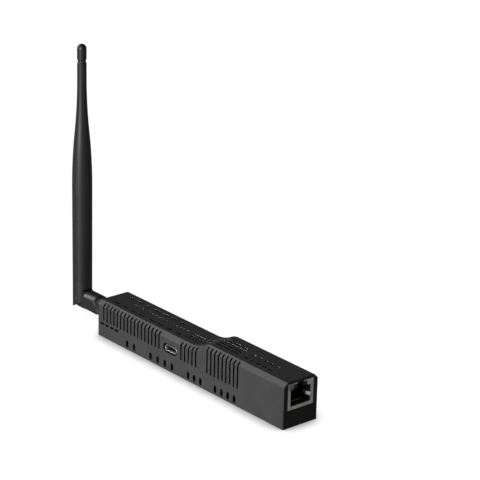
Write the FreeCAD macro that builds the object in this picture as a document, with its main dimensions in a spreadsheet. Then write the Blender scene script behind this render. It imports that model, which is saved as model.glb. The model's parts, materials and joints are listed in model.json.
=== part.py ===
import FreeCAD, Part
import math
import os
import Sketcher

# A bar-shaped network radio adapter: a vented housing with a low and a high half, a network jack in the right
# end, a USB-C socket in the front and a hinged rod antenna that swivels on the left end.
# Millimetres. Origin: centre of the housing's footprint on the table. +X runs to the jack, +Z is up, -Y is
# the front.

doc = FreeCAD.newDocument("radio_adapter")
sheet = doc.addObject("Spreadsheet::Sheet", "Sizes")
nodes = {}


class Size:
    """A length that carries its number and the sheet formula that it comes from."""

    def __init__(self, number, formula=None):
        self.number = float(number)
        self.formula = formula or f"({float(number):g})"

    def __add__(self, other):
        other = as_size(other)
        return Size(self.number + other.number, f"({self.formula} + {other.formula})")

    def __sub__(self, other):
        other = as_size(other)
        return Size(self.number - other.number, f"({self.formula} - {other.formula})")

    def __mul__(self, other):
        other = as_size(other)
        return Size(self.number * other.number, f"({self.formula} * {other.formula})")

    def __truediv__(self, other):
        other = as_size(other)
        return Size(self.number / other.number, f"({self.formula} / {other.formula})")

    def __neg__(self):
        return Size(-self.number, f"(-1 * {self.formula})")

    def __radd__(self, other):
        return as_size(other) + self

    def __rsub__(self, other):
        return as_size(other) - self

    def __rmul__(self, other):
        return as_size(other) * self


def as_size(value):
    return value if isinstance(value, Size) else Size(value)


def dimension(name, number):
    """Writes one driving dimension to the sheet and returns it."""
    row = len(dimension.names) + 1
    dimension.names.append(name)
    sheet.set(f"A{row}", name)
    sheet.set(f"B{row}", f"{number}")
    sheet.setAlias(f"B{row}", name)
    return Size(number, f"Sizes.{name}")


dimension.names = []

# Housing section and side view
housing_width = dimension("housing_width", 21.4)
low_height = dimension("low_height", 19.3)
high_height = dimension("high_height", 23.65)
ramp_run = dimension("ramp_run", 16.25)
ramp_hollow_share = dimension("ramp_hollow_share", 0.646)
edge_chamfer = dimension("edge_chamfer", 2.2)
corner_radius = dimension("corner_radius", 0.4)
wall = dimension("wall", 1.2)

# Bays from the left end to the right one. The housing is as long as what stands in it.
connector_bay = dimension("connector_bay", 15.5)
radio_length = dimension("radio_length", 22.0)
supply_bay = dimension("supply_bay", 22.2)
usb_bay = dimension("usb_bay", 11.9)
processor_length = dimension("processor_length", 25.0)
core_bay = dimension("core_bay", 5.1)
core_length = dimension("core_length", 10.4)
capacitor_bay = dimension("capacitor_bay", 4.8)
jack_bay = dimension("jack_bay", 6.7)
jack_length = dimension("jack_length", 21.3)
jack_gap = dimension("jack_gap", 0.1)
housing_length = (connector_bay + radio_length + supply_bay + usb_bay + processor_length + core_bay
                  + core_length + capacitor_bay + jack_bay + jack_length + jack_gap)
half_length = housing_length / 2
half_width = housing_width / 2
left_end = -half_length
radio_left = left_end + connector_bay
radio_right = radio_left + radio_length
usb_place = radio_right + supply_bay
jack_face = half_length - jack_gap
jack_back = jack_face - jack_length
capacitor_middle = jack_back - jack_bay
core_right = capacitor_middle - capacitor_bay
core_left = core_right - core_length
processor_right = core_left - core_bay
processor_left = processor_right - processor_length
ramp_from_usb = dimension("ramp_from_usb", 13.6)
ramp_start = usb_place + ramp_from_usb

# Vents of the long sides: their first places count from the left end or from the USB socket
slot_width = dimension("slot_width", 1.1)
slot_bottom = dimension("slot_bottom", 9.2)
slot_pitch = dimension("slot_pitch", 2.87)
slot_overrun = dimension("slot_overrun", 0.4)
overcut = dimension("overcut", 1.0)
slot_first = [left_end + dimension("slot_from_end", 4.9), usb_place + dimension("slot_past_usb", 8.7),
              usb_place + dimension("slot_past_ramp", 28.9)]
slot_count = [dimension("slot_count_left", 17), dimension("slot_count_middle", 5),
              dimension("slot_count_right", 9)]
foot_slot_width = dimension("foot_slot_width", 2.0)
foot_slot_bottom = dimension("foot_slot_bottom", 1.0)
foot_slot_height = dimension("foot_slot_height", 4.0)
foot_slot_wide_pitch = dimension("foot_slot_wide_pitch", 5.75)
foot_slot_close_pitch = dimension("foot_slot_close_pitch", 4.78)
foot_slot_first = [left_end + dimension("foot_slot_from_end_a", 24.8),
                   left_end + dimension("foot_slot_from_end_b", 44.2),
                   usb_place + dimension("foot_slot_past_usb_c", 14.5),
                   usb_place + dimension("foot_slot_past_usb_d", 35.4)]
foot_slot_count = [2, 4, 3, 4]
dash_from_end = dimension("dash_from_end", 3.65)
dash_pitch = dimension("dash_pitch", 4.05)
dash_length = dimension("dash_length", 3.05)
dash_height = dimension("dash_height", 1.2)
dash_level = dimension("dash_level", 7.4)

# Vents of the top
top_slot_length = dimension("top_slot_length", 4.5)
top_slot_width = dimension("top_slot_width", 1.3)
top_slot_pitch = dimension("top_slot_pitch", 6.85)
top_row_front = dimension("top_row_front", -5.2)
top_row_back = dimension("top_row_back", 4.6)
top_slot_from_end = dimension("top_slot_from_end", 9.5)
top_slot_second = dimension("top_slot_second", 39.0)
hole_radius = dimension("hole_radius", 0.65)
hole_row_from_end = dimension("hole_row_from_end", 18.0)
hole_row_pitch = dimension("hole_row_pitch", 2.8)
comb_radius = dimension("comb_radius", 0.95)
comb_pitch = dimension("comb_pitch", 2.6)
comb_past_usb = dimension("comb_past_usb", 5.6)
grille_length = dimension("grille_length", 4.6)
grille_width = dimension("grille_width", 1.1)
grille_pitch = dimension("grille_pitch", 5.9)
grille_row_pitch = dimension("grille_row_pitch", 2.32)
grille_past_usb = dimension("grille_past_usb", 30.8)
short_length = dimension("short_length", 2.6)
short_pitch = dimension("short_pitch", 4.35)
short_row_pitch = dimension("short_row_pitch", 4.75)
short_past_usb = dimension("short_past_usb", 51.4)

# Bottom cover, board and what holds them
cover_thickness = dimension("cover_thickness", 1.2)
cover_gap = dimension("cover_gap", 0.1)
hook_width = dimension("hook_width", 5.0)
hook_thickness = dimension("hook_thickness", 1.0)
hook_height = dimension("hook_height", 4.6)
hook_bite = dimension("hook_bite", 0.5)
hook_pitch = dimension("hook_pitch", 51.0)
hook_past_usb = dimension("hook_past_usb", 8.3)
post_radius = dimension("post_radius", 1.9)
post_pin_radius = dimension("post_pin_radius", 0.9)
post_pin_head = dimension("post_pin_head", 0.4)
post_side = dimension("post_side", 6.6)
post_from_radio = dimension("post_from_radio", 3.4)
post_from_processor = dimension("post_from_processor", 4.1)
presser_radius = dimension("presser_radius", 1.0)
presser_side = dimension("presser_side", 7.4)
presser_from_radio = dimension("presser_from_radio", 4.0)
presser_from_jack = dimension("presser_from_jack", 2.7)
board_top = dimension("board_top", 9.0)
board_thickness = dimension("board_thickness", 1.6)
board_side_gap = dimension("board_side_gap", 0.3)
board_from_end = dimension("board_from_end", 8.9)
pin_gap = dimension("pin_gap", 0.1)

# USB-C socket
usb_rise = dimension("usb_rise", 2.9)
usb_width = dimension("usb_width", 8.94)
usb_height = dimension("usb_height", 3.2)
usb_depth = dimension("usb_depth", 7.35)
usb_recess = dimension("usb_recess", 0.55)
usb_sheet = dimension("usb_sheet", 0.3)
usb_port_width = dimension("usb_port_width", 11.0)
usb_port_height = dimension("usb_port_height", 5.0)
tongue_width = dimension("tongue_width", 6.7)
tongue_thickness = dimension("tongue_thickness", 0.7)
tongue_length = dimension("tongue_length", 4.5)
usb_back = dimension("usb_back", 1.0)
usb_contact_pitch = dimension("usb_contact_pitch", 0.5)
usb_contact_count = 12

# Network jack: its case fills the height between the board and the roof
jack_side_gap = dimension("jack_side_gap", 1.5)
jack_roof_gap = dimension("jack_roof_gap", 0.1)
jack_sheet = dimension("jack_sheet", 0.3)
jack_rim_side = dimension("jack_rim_side", 1.7)
jack_rim_bottom = dimension("jack_rim_bottom", 1.8)
jack_rim_top = dimension("jack_rim_top", 2.95)
plug_depth = dimension("plug_depth", 14.0)
latch_width = dimension("latch_width", 4.1)
latch_height = dimension("latch_height", 2.3)
latch_depth = dimension("latch_depth", 9.8)
crown_strip = dimension("crown_strip", 0.55)
crown_strip_length = dimension("crown_strip_length", 2.2)
crown_setback = dimension("crown_setback", 2.0)
window_width = dimension("window_width", 3.3)
window_height = dimension("window_height", 2.5)
window_depth = dimension("window_depth", 6.0)
finger_drop = dimension("finger_drop", 4.4)
finger_height = dimension("finger_height", 1.7)
finger_length = dimension("finger_length", 5.0)
finger_reach = dimension("finger_reach", 0.8)
contact_pitch = dimension("contact_pitch", 1.02)
contact_width = dimension("contact_width", 0.46)
contact_thickness = dimension("contact_thickness", 0.3)
contact_length = dimension("contact_length", 11.2)
contact_rise = dimension("contact_rise", 2.6)
contact_count = 8
shield_leg_width = dimension("shield_leg_width", 1.6)
shield_leg_length = dimension("shield_leg_length", 3.2)

# Coax connector in the left end
barrel_radius = dimension("barrel_radius", 3.1)
barrel_clearance = dimension("barrel_clearance", 0.35)
barrel_tail = dimension("barrel_tail", 5.6)
tail_wall = dimension("tail_wall", 0.6)
flange_radius = dimension("flange_radius", 4.4)
flange_thickness = dimension("flange_thickness", 1.6)
dielectric_radius = dimension("dielectric_radius", 1.9)
dielectric_inset = dimension("dielectric_inset", 0.3)
contact_radius = dimension("contact_radius", 0.75)
contact_tail = dimension("contact_tail", 0.8)
washer_radius = dimension("washer_radius", 4.8)
washer_thickness = dimension("washer_thickness", 0.6)
nut_radius = dimension("nut_radius", 4.6)
nut_thickness = dimension("nut_thickness", 2.0)
thread_gap = dimension("thread_gap", 0.05)
coupling_gap = dimension("coupling_gap", 0.2)
coupling_radius = dimension("coupling_radius", 5.0)
coupling_length = dimension("coupling_length", 9.0)
coupling_lip = dimension("coupling_lip", 1.4)
knurl_depth = dimension("knurl_depth", 0.3)
knurl_count = dimension("knurl_count", 28)

# Swivel elbow
elbow_gap = dimension("elbow_gap", 0.3)
elbow_length = dimension("elbow_length", 10.6)
elbow_radius = dimension("elbow_radius", 5.3)
elbow_flat = dimension("elbow_flat", 4.45)
elbow_chamfer = dimension("elbow_chamfer", 0.8)
tongue_radius = dimension("tongue_radius", 4.7)
tongue_half = dimension("tongue_half", 2.85)
tongue_slot = dimension("tongue_slot", 2.4)
stem_radius = dimension("stem_radius", 2.6)
stem_bore = dimension("stem_bore", 1.5)
stem_flange_gap = dimension("stem_flange_gap", 0.2)
stem_flange = dimension("stem_flange", 0.8)
stem_depth = dimension("stem_depth", 3.6)
swivel_gap = dimension("swivel_gap", 0.05)
antenna_pin_radius = dimension("antenna_pin_radius", 0.45)
antenna_pin_reach = dimension("antenna_pin_reach", 4.5)
lead_radius = dimension("lead_radius", 0.9)
lead_gap = dimension("lead_gap", 0.3)

# Antenna
sleeve_radius = dimension("sleeve_radius", 5.3)
sleeve_step = dimension("sleeve_step", 0.1)
heel_drop = dimension("heel_drop", 5.0)
heel_back = dimension("heel_back", 2.6)
toe_drop = dimension("toe_drop", 0.7)
knuckle_roof = dimension("knuckle_roof", 3.25)
hinge_clearance = dimension("hinge_clearance", 0.4)
fork_side_gap = dimension("fork_side_gap", 0.15)
fork_top_gap = dimension("fork_top_gap", 0.8)
hinge_radius = dimension("hinge_radius", 1.2)
hinge_gap = dimension("hinge_gap", 0.05)
hinge_inset = dimension("hinge_inset", 0.1)
tip_radius = dimension("tip_radius", 2.45)
antenna_height = dimension("antenna_height", 137.85)
flare_start = dimension("flare_start", 62.4)
tip_length = dimension("tip_length", 18.25)
groove_drop = dimension("groove_drop", 9.05)
groove_width = dimension("groove_width", 2.0)
groove_depth = dimension("groove_depth", 0.32)
sleeve_wall = dimension("sleeve_wall", 1.4)
bore_past_flare = dimension("bore_past_flare", 5.6)
rod_bore_radius = dimension("rod_bore_radius", 1.1)
tip_wall = dimension("tip_wall", 13.85)
spigot_height = dimension("spigot_height", 4.0)
radiator_radius = dimension("radiator_radius", 2.2)
radiator_gap = dimension("radiator_gap", 0.1)
radiator_length = dimension("radiator_length", 26.0)
whip_radius = dimension("whip_radius", 0.7)
whip_gap = dimension("whip_gap", 6.0)

# Places worked out from the sizes
zero = as_size(0)
antenna_level = low_height / 2
inner_side = half_width - wall
board_bottom = board_top - board_thickness
board_side = inner_side - board_side_gap
usb_level = board_top + usb_rise
usb_mouth = usb_recess - half_width
jack_top = high_height - wall - jack_roof_gap
jack_width = (inner_side - jack_side_gap) * 2
capacitor_place = (capacitor_middle, dimension("capacitor_side", 3.4))
comb_row_pitch = comb_pitch * math.sin(math.pi / 3)
knuckle_radius = sleeve_radius - sleeve_step
fork_half = tongue_half + fork_side_gap
fork_height = tongue_radius + fork_top_gap
knuckle_above = fork_height + knuckle_roof
shoulder_reach = knuckle_radius + hinge_clearance
coupling_start = washer_thickness + nut_thickness + coupling_gap
coupling_end = coupling_start + coupling_length
elbow_start = coupling_end + elbow_gap
pivot_reach = elbow_start + elbow_length + shoulder_reach
stem_inner = coupling_end - coupling_lip - swivel_gap
barrel_reach = stem_inner - stem_flange - barrel_clearance


def bind(thing, prop, size):
    thing.setExpression(prop, as_size(size).formula)


def place(thing, x=0, y=0, z=0, rotation=None):
    if rotation is not None:
        thing.Placement = FreeCAD.Placement(FreeCAD.Vector(), rotation)
    for axis, size in (("x", x), ("y", y), ("z", z)):
        bind(thing, f"Placement.Base.{axis}", size)
    return thing


def node(name, thing):
    """Marks an object as a finished piece; its label names its file."""
    thing.Label = name
    nodes[name] = thing
    return thing


def block(name, x, y, z):
    """A box between two values on each axis."""
    box = doc.addObject("Part::Box", name)
    for prop, span in (("Length", x), ("Width", y), ("Height", z)):
        bind(box, prop, as_size(span[1]) - as_size(span[0]))
    return place(box, x[0], y[0], z[0])


TURNS = {
    "x": FreeCAD.Rotation(FreeCAD.Vector(0, 1, 0), 90),
    "y": FreeCAD.Rotation(FreeCAD.Vector(1, 0, 0), -90),
    "z": FreeCAD.Rotation(),
}


def rod(name, axis, radius, span, cross):
    """A cylinder along an axis; cross gives its centre on the two other axes, in X, Y, Z order."""
    cylinder = doc.addObject("Part::Cylinder", name)
    bind(cylinder, "Radius", radius)
    bind(cylinder, "Height", as_size(span[1]) - as_size(span[0]))
    at = {"x": (span[0], cross[0], cross[1]), "y": (cross[0], span[0], cross[1]),
          "z": (cross[0], cross[1], span[0])}[axis]
    return place(cylinder, *at, rotation=TURNS[axis])


def joined(name, *parts):
    fusion = doc.addObject("Part::MultiFuse", name)
    fusion.Shapes = list(parts)
    return fusion


def less(name, base, *tools):
    cut = doc.addObject("Part::Cut", name)
    cut.Base = base
    cut.Tool = tools[0] if len(tools) == 1 else joined(name + "_tools", *tools)
    return cut


def common(name, *parts):
    shared = doc.addObject("Part::MultiCommon", name)
    shared.Shapes = list(parts)
    return shared


def group(name, parts):
    """Separate solids that share one node."""
    compound = doc.addObject("Part::Compound", name)
    compound.Links = list(parts)
    return compound


def new_body(name):
    body = doc.addObject("PartDesign::Body", name)
    body.AllowCompound = True
    return body


def sketch_on(body, name, plane, offset=None):
    sketch = body.newObject("Sketcher::SketchObject", name)
    support = [feature for feature in body.Origin.OriginFeatures if feature.Role == plane][0]
    sketch.AttachmentSupport = [(support, "")]
    sketch.MapMode = "FlatFace"
    if offset is not None:
        bind(sketch, "AttachmentOffset.Base.z", offset)
    return sketch


def fix_point(sketch, geometry, point, at):
    """Ties a sketch point to two sizes, measured from the sketch's origin."""
    for kind, size in (("DistanceX", at[0]), ("DistanceY", at[1])):
        size = as_size(size)
        index = sketch.addConstraint(Sketcher.Constraint(kind, -1, 1, geometry, point, size.number))
        bind(sketch, f"Constraints[{index}]", size)


def fix_radius(sketch, geometry, size):
    index = sketch.addConstraint(Sketcher.Constraint("Radius", geometry, size.number))
    bind(sketch, f"Constraints[{index}]", size)


def vector(at):
    return FreeCAD.Vector(as_size(at[0]).number, as_size(at[1]).number, 0)


def polygon(sketch, points):
    """A closed outline of straight lines, with every corner tied to its sizes."""
    first = sketch.GeometryCount
    count = len(points)
    for index in range(count):
        start, end = vector(points[index]), vector(points[(index + 1) % count])
        sketch.addGeometry(Part.LineSegment(start, end), False)
    for index in range(count):
        following = first + (index + 1) % count
        sketch.addConstraint(Sketcher.Constraint("Coincident", first + index, 2, following, 1))
        fix_point(sketch, first + index, 1, points[index])


def rectangle(sketch, x, y):
    polygon(sketch, [(x[0], y[0]), (x[1], y[0]), (x[1], y[1]), (x[0], y[1])])


def centred(sketch, centre, length, width):
    rectangle(sketch, (centre[0] - length / 2, centre[0] + length / 2),
              (centre[1] - width / 2, centre[1] + width / 2))


def circle(sketch, centre, radius):
    geometry = sketch.addGeometry(
        Part.Circle(vector(centre), FreeCAD.Vector(0, 0, 1), as_size(radius).number), False)
    fix_point(sketch, geometry, 3, centre)
    fix_radius(sketch, geometry, as_size(radius))


def hexagon(sketch, centre, radius):
    """A six-sided hole outline with a corner on each side in Y; the radius reaches the corners."""
    half, rise = radius * math.sin(math.pi / 3), radius / 2
    offsets = [(half, -rise), (half, rise), (zero, radius), (-half, rise), (-half, -rise), (zero, -radius)]
    polygon(sketch, [(centre[0] + x, centre[1] + y) for x, y in offsets])


def stadium(sketch, centre, length, width, upright=False):
    """A slot outline with round ends; length is its overall length."""
    half_run, radius = (length - width) / 2, width / 2
    turn = math.pi / 2 if upright else 0.0
    step = (0, half_run) if upright else (half_run, 0)
    low = (centre[0] - step[0], centre[1] - step[1])
    high = (centre[0] + step[0], centre[1] + step[1])
    upward = FreeCAD.Vector(0, 0, 1)

    def arc(at, start):
        full = Part.Circle(vector(at), upward, radius.number)
        return sketch.addGeometry(Part.ArcOfCircle(full, start + turn, start + math.pi + turn), False)

    low_arc = arc(low, math.pi / 2)
    high_arc = arc(high, -math.pi / 2)
    ends = {}
    for key, geometry in (("low", low_arc), ("high", high_arc)):
        curve = sketch.Geometry[geometry]
        ends[key] = (curve.StartPoint, curve.EndPoint)
    top = sketch.addGeometry(Part.LineSegment(ends["high"][1], ends["low"][0]), False)
    bottom = sketch.addGeometry(Part.LineSegment(ends["low"][1], ends["high"][0]), False)
    for start, end in ((high_arc, top), (top, low_arc), (low_arc, bottom), (bottom, high_arc)):
        sketch.addConstraint(Sketcher.Constraint("Tangent", start, 2, end, 1))
    sketch.addConstraint(Sketcher.Constraint("Equal", low_arc, high_arc))
    fix_radius(sketch, low_arc, radius)
    fix_point(sketch, low_arc, 3, low)
    fix_point(sketch, high_arc, 3, high)


def pad(body, sketch, length, midplane=False, backwards=False):
    feature = body.newObject("PartDesign::Pad", sketch.Name + "_pad")
    feature.Profile = sketch
    feature.Midplane = midplane
    feature.Reversed = backwards
    bind(feature, "Length", length)
    body.Tip = feature
    return feature


def pocket(body, sketch, depth, backwards=False):
    feature = body.newObject("PartDesign::Pocket", sketch.Name + "_pocket")
    feature.Profile = sketch
    feature.Reversed = backwards
    bind(feature, "Length", depth)
    body.Tip = feature
    return feature


def row_of(body, feature, sketch, pitch, count, row_pitch=None, rows=1):
    """Repeats a feature along its sketch's X axis and, where rows are given, along its Y axis."""
    pattern = body.newObject("PartDesign::LinearPattern", feature.Name + "_row")
    pattern.Originals = [feature]
    pattern.Direction = (sketch, ["H_Axis"])
    pattern.Mode = "Spacing"
    bind(pattern, "Offset", pitch)
    if isinstance(count, Size):
        bind(pattern, "Occurrences", count)
    else:
        pattern.Occurrences = count
    if rows > 1:
        pattern.Direction2 = (sketch, ["V_Axis"])
        pattern.Mode2 = "Spacing"
        bind(pattern, "Offset2", row_pitch)
        pattern.Occurrences2 = rows
    body.Tip = pattern
    return pattern


def turned(name, points, axis="H_Axis"):
    """A turned piece: an outline on the XZ plane, revolved about the sketch's own axis."""
    body = new_body(name)
    sketch = sketch_on(body, name + "_profile", "XZ_Plane")
    polygon(sketch, points)
    feature = body.newObject("PartDesign::Revolution", name + "_turn")
    feature.Profile = sketch
    feature.ReferenceAxis = (sketch, [axis])
    feature.Angle = 360
    body.Tip = feature
    return body


# Housing

def bar_profile(sketch, left, right, bottom, low_top, high_top, hollow_share):
    """Side view of the bar: low top, hollow arc, round arc, high top. The two arcs meet at one tangent."""
    rise = high_top - low_top
    foot = (ramp_start, low_top)
    meet = (ramp_start + ramp_run * hollow_share, low_top + rise * hollow_share)
    crest = (ramp_start + ramp_run, high_top)
    span = ramp_run.number ** 2 + rise.number ** 2
    hollow_radius = span * hollow_share.number / (2 * rise.number)
    round_radius = span * (1 - hollow_share.number) / (2 * rise.number)
    turn = 2 * math.atan2(rise.number, ramp_run.number)
    upward = FreeCAD.Vector(0, 0, 1)
    hollow_centre = vector(foot) + FreeCAD.Vector(0, hollow_radius, 0)
    round_centre = vector(crest) - FreeCAD.Vector(0, round_radius, 0)
    quarter = math.pi / 2
    corners = [(left, bottom), (right, bottom), (right, high_top), crest, foot, (left, low_top)]
    lines = [(0, 1), (1, 2), (2, 3), (4, 5), (5, 0)]
    for start, end in lines:
        sketch.addGeometry(Part.LineSegment(vector(corners[start]), vector(corners[end])), False)
    round_arc = sketch.addGeometry(Part.ArcOfCircle(
        Part.Circle(round_centre, upward, round_radius), quarter, quarter + turn), False)
    hollow_arc = sketch.addGeometry(Part.ArcOfCircle(
        Part.Circle(hollow_centre, upward, hollow_radius), -quarter, turn - quarter), False)
    for start, start_end, end, end_end in ((0, 2, 1, 1), (1, 2, 2, 1), (2, 2, round_arc, 1),
                                           (round_arc, 2, hollow_arc, 2), (hollow_arc, 1, 3, 1),
                                           (3, 2, 4, 1), (4, 2, 0, 1)):
        sketch.addConstraint(Sketcher.Constraint("Coincident", start, start_end, end, end_end))
    for line in range(3):
        fix_point(sketch, line, 1, corners[line])
    fix_point(sketch, round_arc, 1, crest)
    fix_point(sketch, round_arc, 2, meet)
    fix_point(sketch, hollow_arc, 1, foot)
    fix_point(sketch, 4, 1, corners[5])
    for arc, end in ((round_arc, crest), (hollow_arc, foot)):
        index = sketch.addConstraint(Sketcher.Constraint("DistanceX", -1, 1, arc, 3, end[0].number))
        bind(sketch, f"Constraints[{index}]", end[0])


def long_top_edges(shape, side, least_height):
    """Names of the edges that run along the top at both sides, ramp included."""
    names = []
    for index, edge in enumerate(shape.Edges, 1):
        box = edge.BoundBox
        at_side = abs(abs(box.YMin) - side) < 1e-4 and abs(box.YMax - box.YMin) < 1e-4
        if at_side and box.ZMin > least_height - 1e-4:
            names.append(f"Edge{index}")
    return names


def bar(name, inset, bottom, chamfer):
    """The bar's solid, drawn in from the outside by an inset, with both long top edges chamfered."""
    body = new_body(name)
    sketch = sketch_on(body, name + "_side_view", "XZ_Plane")
    rise = high_height - low_height
    span = ramp_run * ramp_run + rise * rise
    share = ramp_hollow_share + inset * 2 * rise / span
    bar_profile(sketch, inset - half_length, half_length - inset, bottom,
                low_height - inset, high_height - inset, share)
    solid = pad(body, sketch, (half_width - inset) * 2, midplane=True)
    doc.recompute()
    edges = long_top_edges(solid.Shape, (half_width - inset).number, (low_height - inset).number)
    bevel = body.newObject("PartDesign::Chamfer", name + "_long_edges")
    bevel.Base = (solid, edges)
    bind(bevel, "Size", chamfer)
    body.Tip = bevel
    return body


def upright_edges(shape):
    names = []
    for index, edge in enumerate(shape.Edges, 1):
        box = edge.BoundBox
        flat = box.XMax - box.XMin < 1e-4 and box.YMax - box.YMin < 1e-4
        if flat and box.ZMin < 1e-4:
            names.append(f"Edge{index}")
    return names


outside = bar("housing_outside", zero, zero, edge_chamfer)
doc.recompute()
bevelled = outside.Tip
corners = outside.newObject("PartDesign::Fillet", "housing_corners")
corners.Base = (bevelled, upright_edges(bevelled.Shape))
bind(corners, "Radius", corner_radius)
outside.Tip = corners

# Each run of vents is a body of its own: one cutter and its row. All of them leave the shell in one cut.
slot_depth = wall + slot_overrun
top_cut = high_height - low_height + slot_depth
vents = []


def vent_row(name, plane, offset, outline, depth, pitch, count, row_pitch=None, rows=1, backwards=True):
    """Starts a cutter outside the surface, runs it in by a depth and repeats it."""
    body = new_body(name + "_vents")
    sketch = sketch_on(body, name, plane, offset)
    outline(sketch)
    cutter = pad(body, sketch, depth + overcut, backwards=backwards)
    if isinstance(count, Size) or count * rows > 1:
        row_of(body, cutter, sketch, pitch, count, row_pitch, rows)
    vents.append(body)


for side, side_name in ((-1, "front"), (1, "rear")):
    for first, count, part_name in zip(slot_first, slot_count, ("left", "middle", "right")):
        vent_row(f"slot_{side_name}_{part_name}", "XZ_Plane", (half_width + overcut) * -side,
                 lambda sketch: rectangle(sketch, (first - slot_width / 2, first + slot_width / 2),
                                          (slot_bottom, high_height + overcut)),
                 slot_depth, slot_pitch, count, backwards=side < 0)

foot_slot_pitches = [foot_slot_wide_pitch, foot_slot_wide_pitch, foot_slot_close_pitch, foot_slot_close_pitch]
for first, count, pitch, letter in zip(foot_slot_first, foot_slot_count, foot_slot_pitches, "abcd"):
    vent_row(f"foot_slot_{letter}", "XZ_Plane", half_width + overcut,
             lambda sketch: stadium(sketch, (first, foot_slot_bottom + foot_slot_height / 2),
                                    foot_slot_height, foot_slot_width, upright=True),
             slot_depth, pitch, count)

vent_row("front_dash", "XZ_Plane", half_width + overcut,
         lambda sketch: stadium(sketch, (left_end + dash_from_end, dash_level), dash_length, dash_height),
         slot_depth, dash_pitch, 4)


def top_slots(name, first, row, length, width, pitch, count, row_pitch=None, rows=1):
    vent_row(name, "XY_Plane", high_height + overcut,
             lambda sketch: stadium(sketch, (first, row), length, width),
             top_cut, pitch, count, row_pitch, rows)


def top_holes(name, first, row, radius, pitch, count, row_pitch=None, rows=1):
    vent_row(name, "XY_Plane", high_height + overcut, lambda sketch: hexagon(sketch, (first, row), radius),
             top_cut, pitch, count, row_pitch, rows)


top_first = left_end + top_slot_from_end
top_slots("top_front_a", top_first, top_row_front, top_slot_length, top_slot_width, top_slot_pitch, 4)
top_slots("top_front_b", left_end + top_slot_second, top_row_front, top_slot_length, top_slot_width,
          top_slot_pitch, 4)
top_slots("top_back", top_first, top_row_back, top_slot_length, top_slot_width, top_slot_pitch, 7)
top_holes("top_holes", left_end + hole_row_from_end, zero, hole_radius, hole_row_pitch, 16)
comb_first = usb_place + comb_past_usb
top_holes("comb_even", comb_first, comb_row_pitch * -2, comb_radius, comb_pitch, 8, comb_row_pitch * 2, 3)
top_holes("comb_odd", comb_first + comb_pitch / 2, -comb_row_pitch, comb_radius, comb_pitch, 7,
          comb_row_pitch * 2, 2)
vent_row("grille", "XY_Plane", high_height + overcut,
         lambda sketch: centred(sketch, (usb_place + grille_past_usb, grille_row_pitch * -2),
                                grille_length, grille_width),
         top_cut, grille_pitch, 3, grille_row_pitch, 5)
top_slots("short_slots", usb_place + short_past_usb, -short_row_pitch, short_length, top_slot_width,
          short_pitch, 5, short_row_pitch, 3)

# Ports for the sockets and the bore for the antenna's connector
vent_row("usb_port", "XZ_Plane", half_width + overcut,
         lambda sketch: stadium(sketch, (usb_place, usb_level), usb_port_width, usb_port_height),
         slot_depth, 0, 1)
jack_half = jack_width / 2 + jack_gap
vent_row("jack_port", "YZ_Plane", half_length + overcut,
         lambda sketch: rectangle(sketch, (-jack_half, jack_half),
                                  (board_top - jack_gap, jack_top + jack_gap)),
         slot_depth, 0, 1)
vent_row("antenna_bore", "YZ_Plane", -half_length - overcut,
         lambda sketch: circle(sketch, (zero, antenna_level), barrel_radius + thread_gap),
         slot_depth, 0, 1, backwards=False)

# The inner chamfer's leg keeps the wall's thickness across the slope.
inner_chamfer = edge_chamfer - wall * (2 - math.sqrt(2))
hollow = bar("housing_hollow", wall, -overcut, inner_chamfer)

# Pockets in the side walls take the cover's hooks.
hook_middle = usb_place + hook_past_usb
hook_places = [hook_middle - hook_pitch, hook_middle, hook_middle + hook_pitch]
hook_top = cover_thickness + hook_height
hook_tooth = hook_bite * 2
catches = []
for index, middle in enumerate(hook_places):
    reach = inner_side + hook_bite + cover_gap
    catches.append(block(f"hook_catch_{index}",
                         (middle - hook_width / 2 - cover_gap, middle + hook_width / 2 + cover_gap),
                         (-reach, reach), (hook_top - hook_tooth - cover_gap, hook_top + cover_gap)))
pressers = []
presser_places = ((radio_right + presser_from_radio, low_height),
                  (jack_back - presser_from_jack, high_height))
for index, (middle, roof_top) in enumerate(presser_places):
    roof = roof_top - wall / 2
    for side in (-1, 1):
        pressers.append(rod(f"presser_{index}_{side + 1}", "z", presser_radius, (board_top, roof),
                            (middle, presser_side * side)))
plain_shell = joined("housing_plain", less("housing_open", outside, hollow, *catches), *pressers)
node("housing_shell", less("housing_vented", plain_shell, group("housing_vents", vents)))

# Bottom cover: a plate inside the walls, posts with pins for the board, hooks along both sides

cover = new_body("cover_body")
plate_sketch = sketch_on(cover, "cover_plate", "XY_Plane")
plate_x = half_length - wall - cover_gap
plate_y = inner_side - cover_gap
post_left = radio_left - post_from_radio
post_pitch = processor_right + post_from_processor - post_left
rectangle(plate_sketch, (-plate_x, plate_x), (-plate_y, plate_y))
pad(cover, plate_sketch, cover_thickness)
for part_name, radius, height in (
        ("post", post_radius, board_bottom),
        ("post_pin", post_pin_radius, board_top + post_pin_head)):
    post_sketch = sketch_on(cover, f"cover_{part_name}", "XY_Plane")
    for side in (-1, 1):
        circle(post_sketch, (post_left, post_side * side), radius)
    row_of(cover, pad(cover, post_sketch, height), post_sketch, post_pitch, 2)
hook_sketch = sketch_on(cover, "cover_hook", "YZ_Plane", hook_places[0] - hook_width / 2)
hook_outer = plate_y
for side in (-1, 1):
    outline = [(hook_outer - hook_thickness, zero), (hook_outer, zero),
               (hook_outer, hook_top - hook_tooth), (inner_side + hook_bite, hook_top - hook_tooth),
               (hook_outer, hook_top), (hook_outer - hook_thickness, hook_top)]
    polygon(hook_sketch, [(y * side, z) for y, z in outline][::side])
hook = pad(cover, hook_sketch, hook_width)
hook_row = cover.newObject("PartDesign::LinearPattern", "cover_hook_row")
hook_row.Originals = [hook]
hook_row.Direction = (hook_sketch, ["N_Axis"])
hook_row.Mode = "Spacing"
bind(hook_row, "Offset", hook_pitch)
hook_row.Occurrences = 3
cover.Tip = hook_row
node("base_cover", cover)

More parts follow.
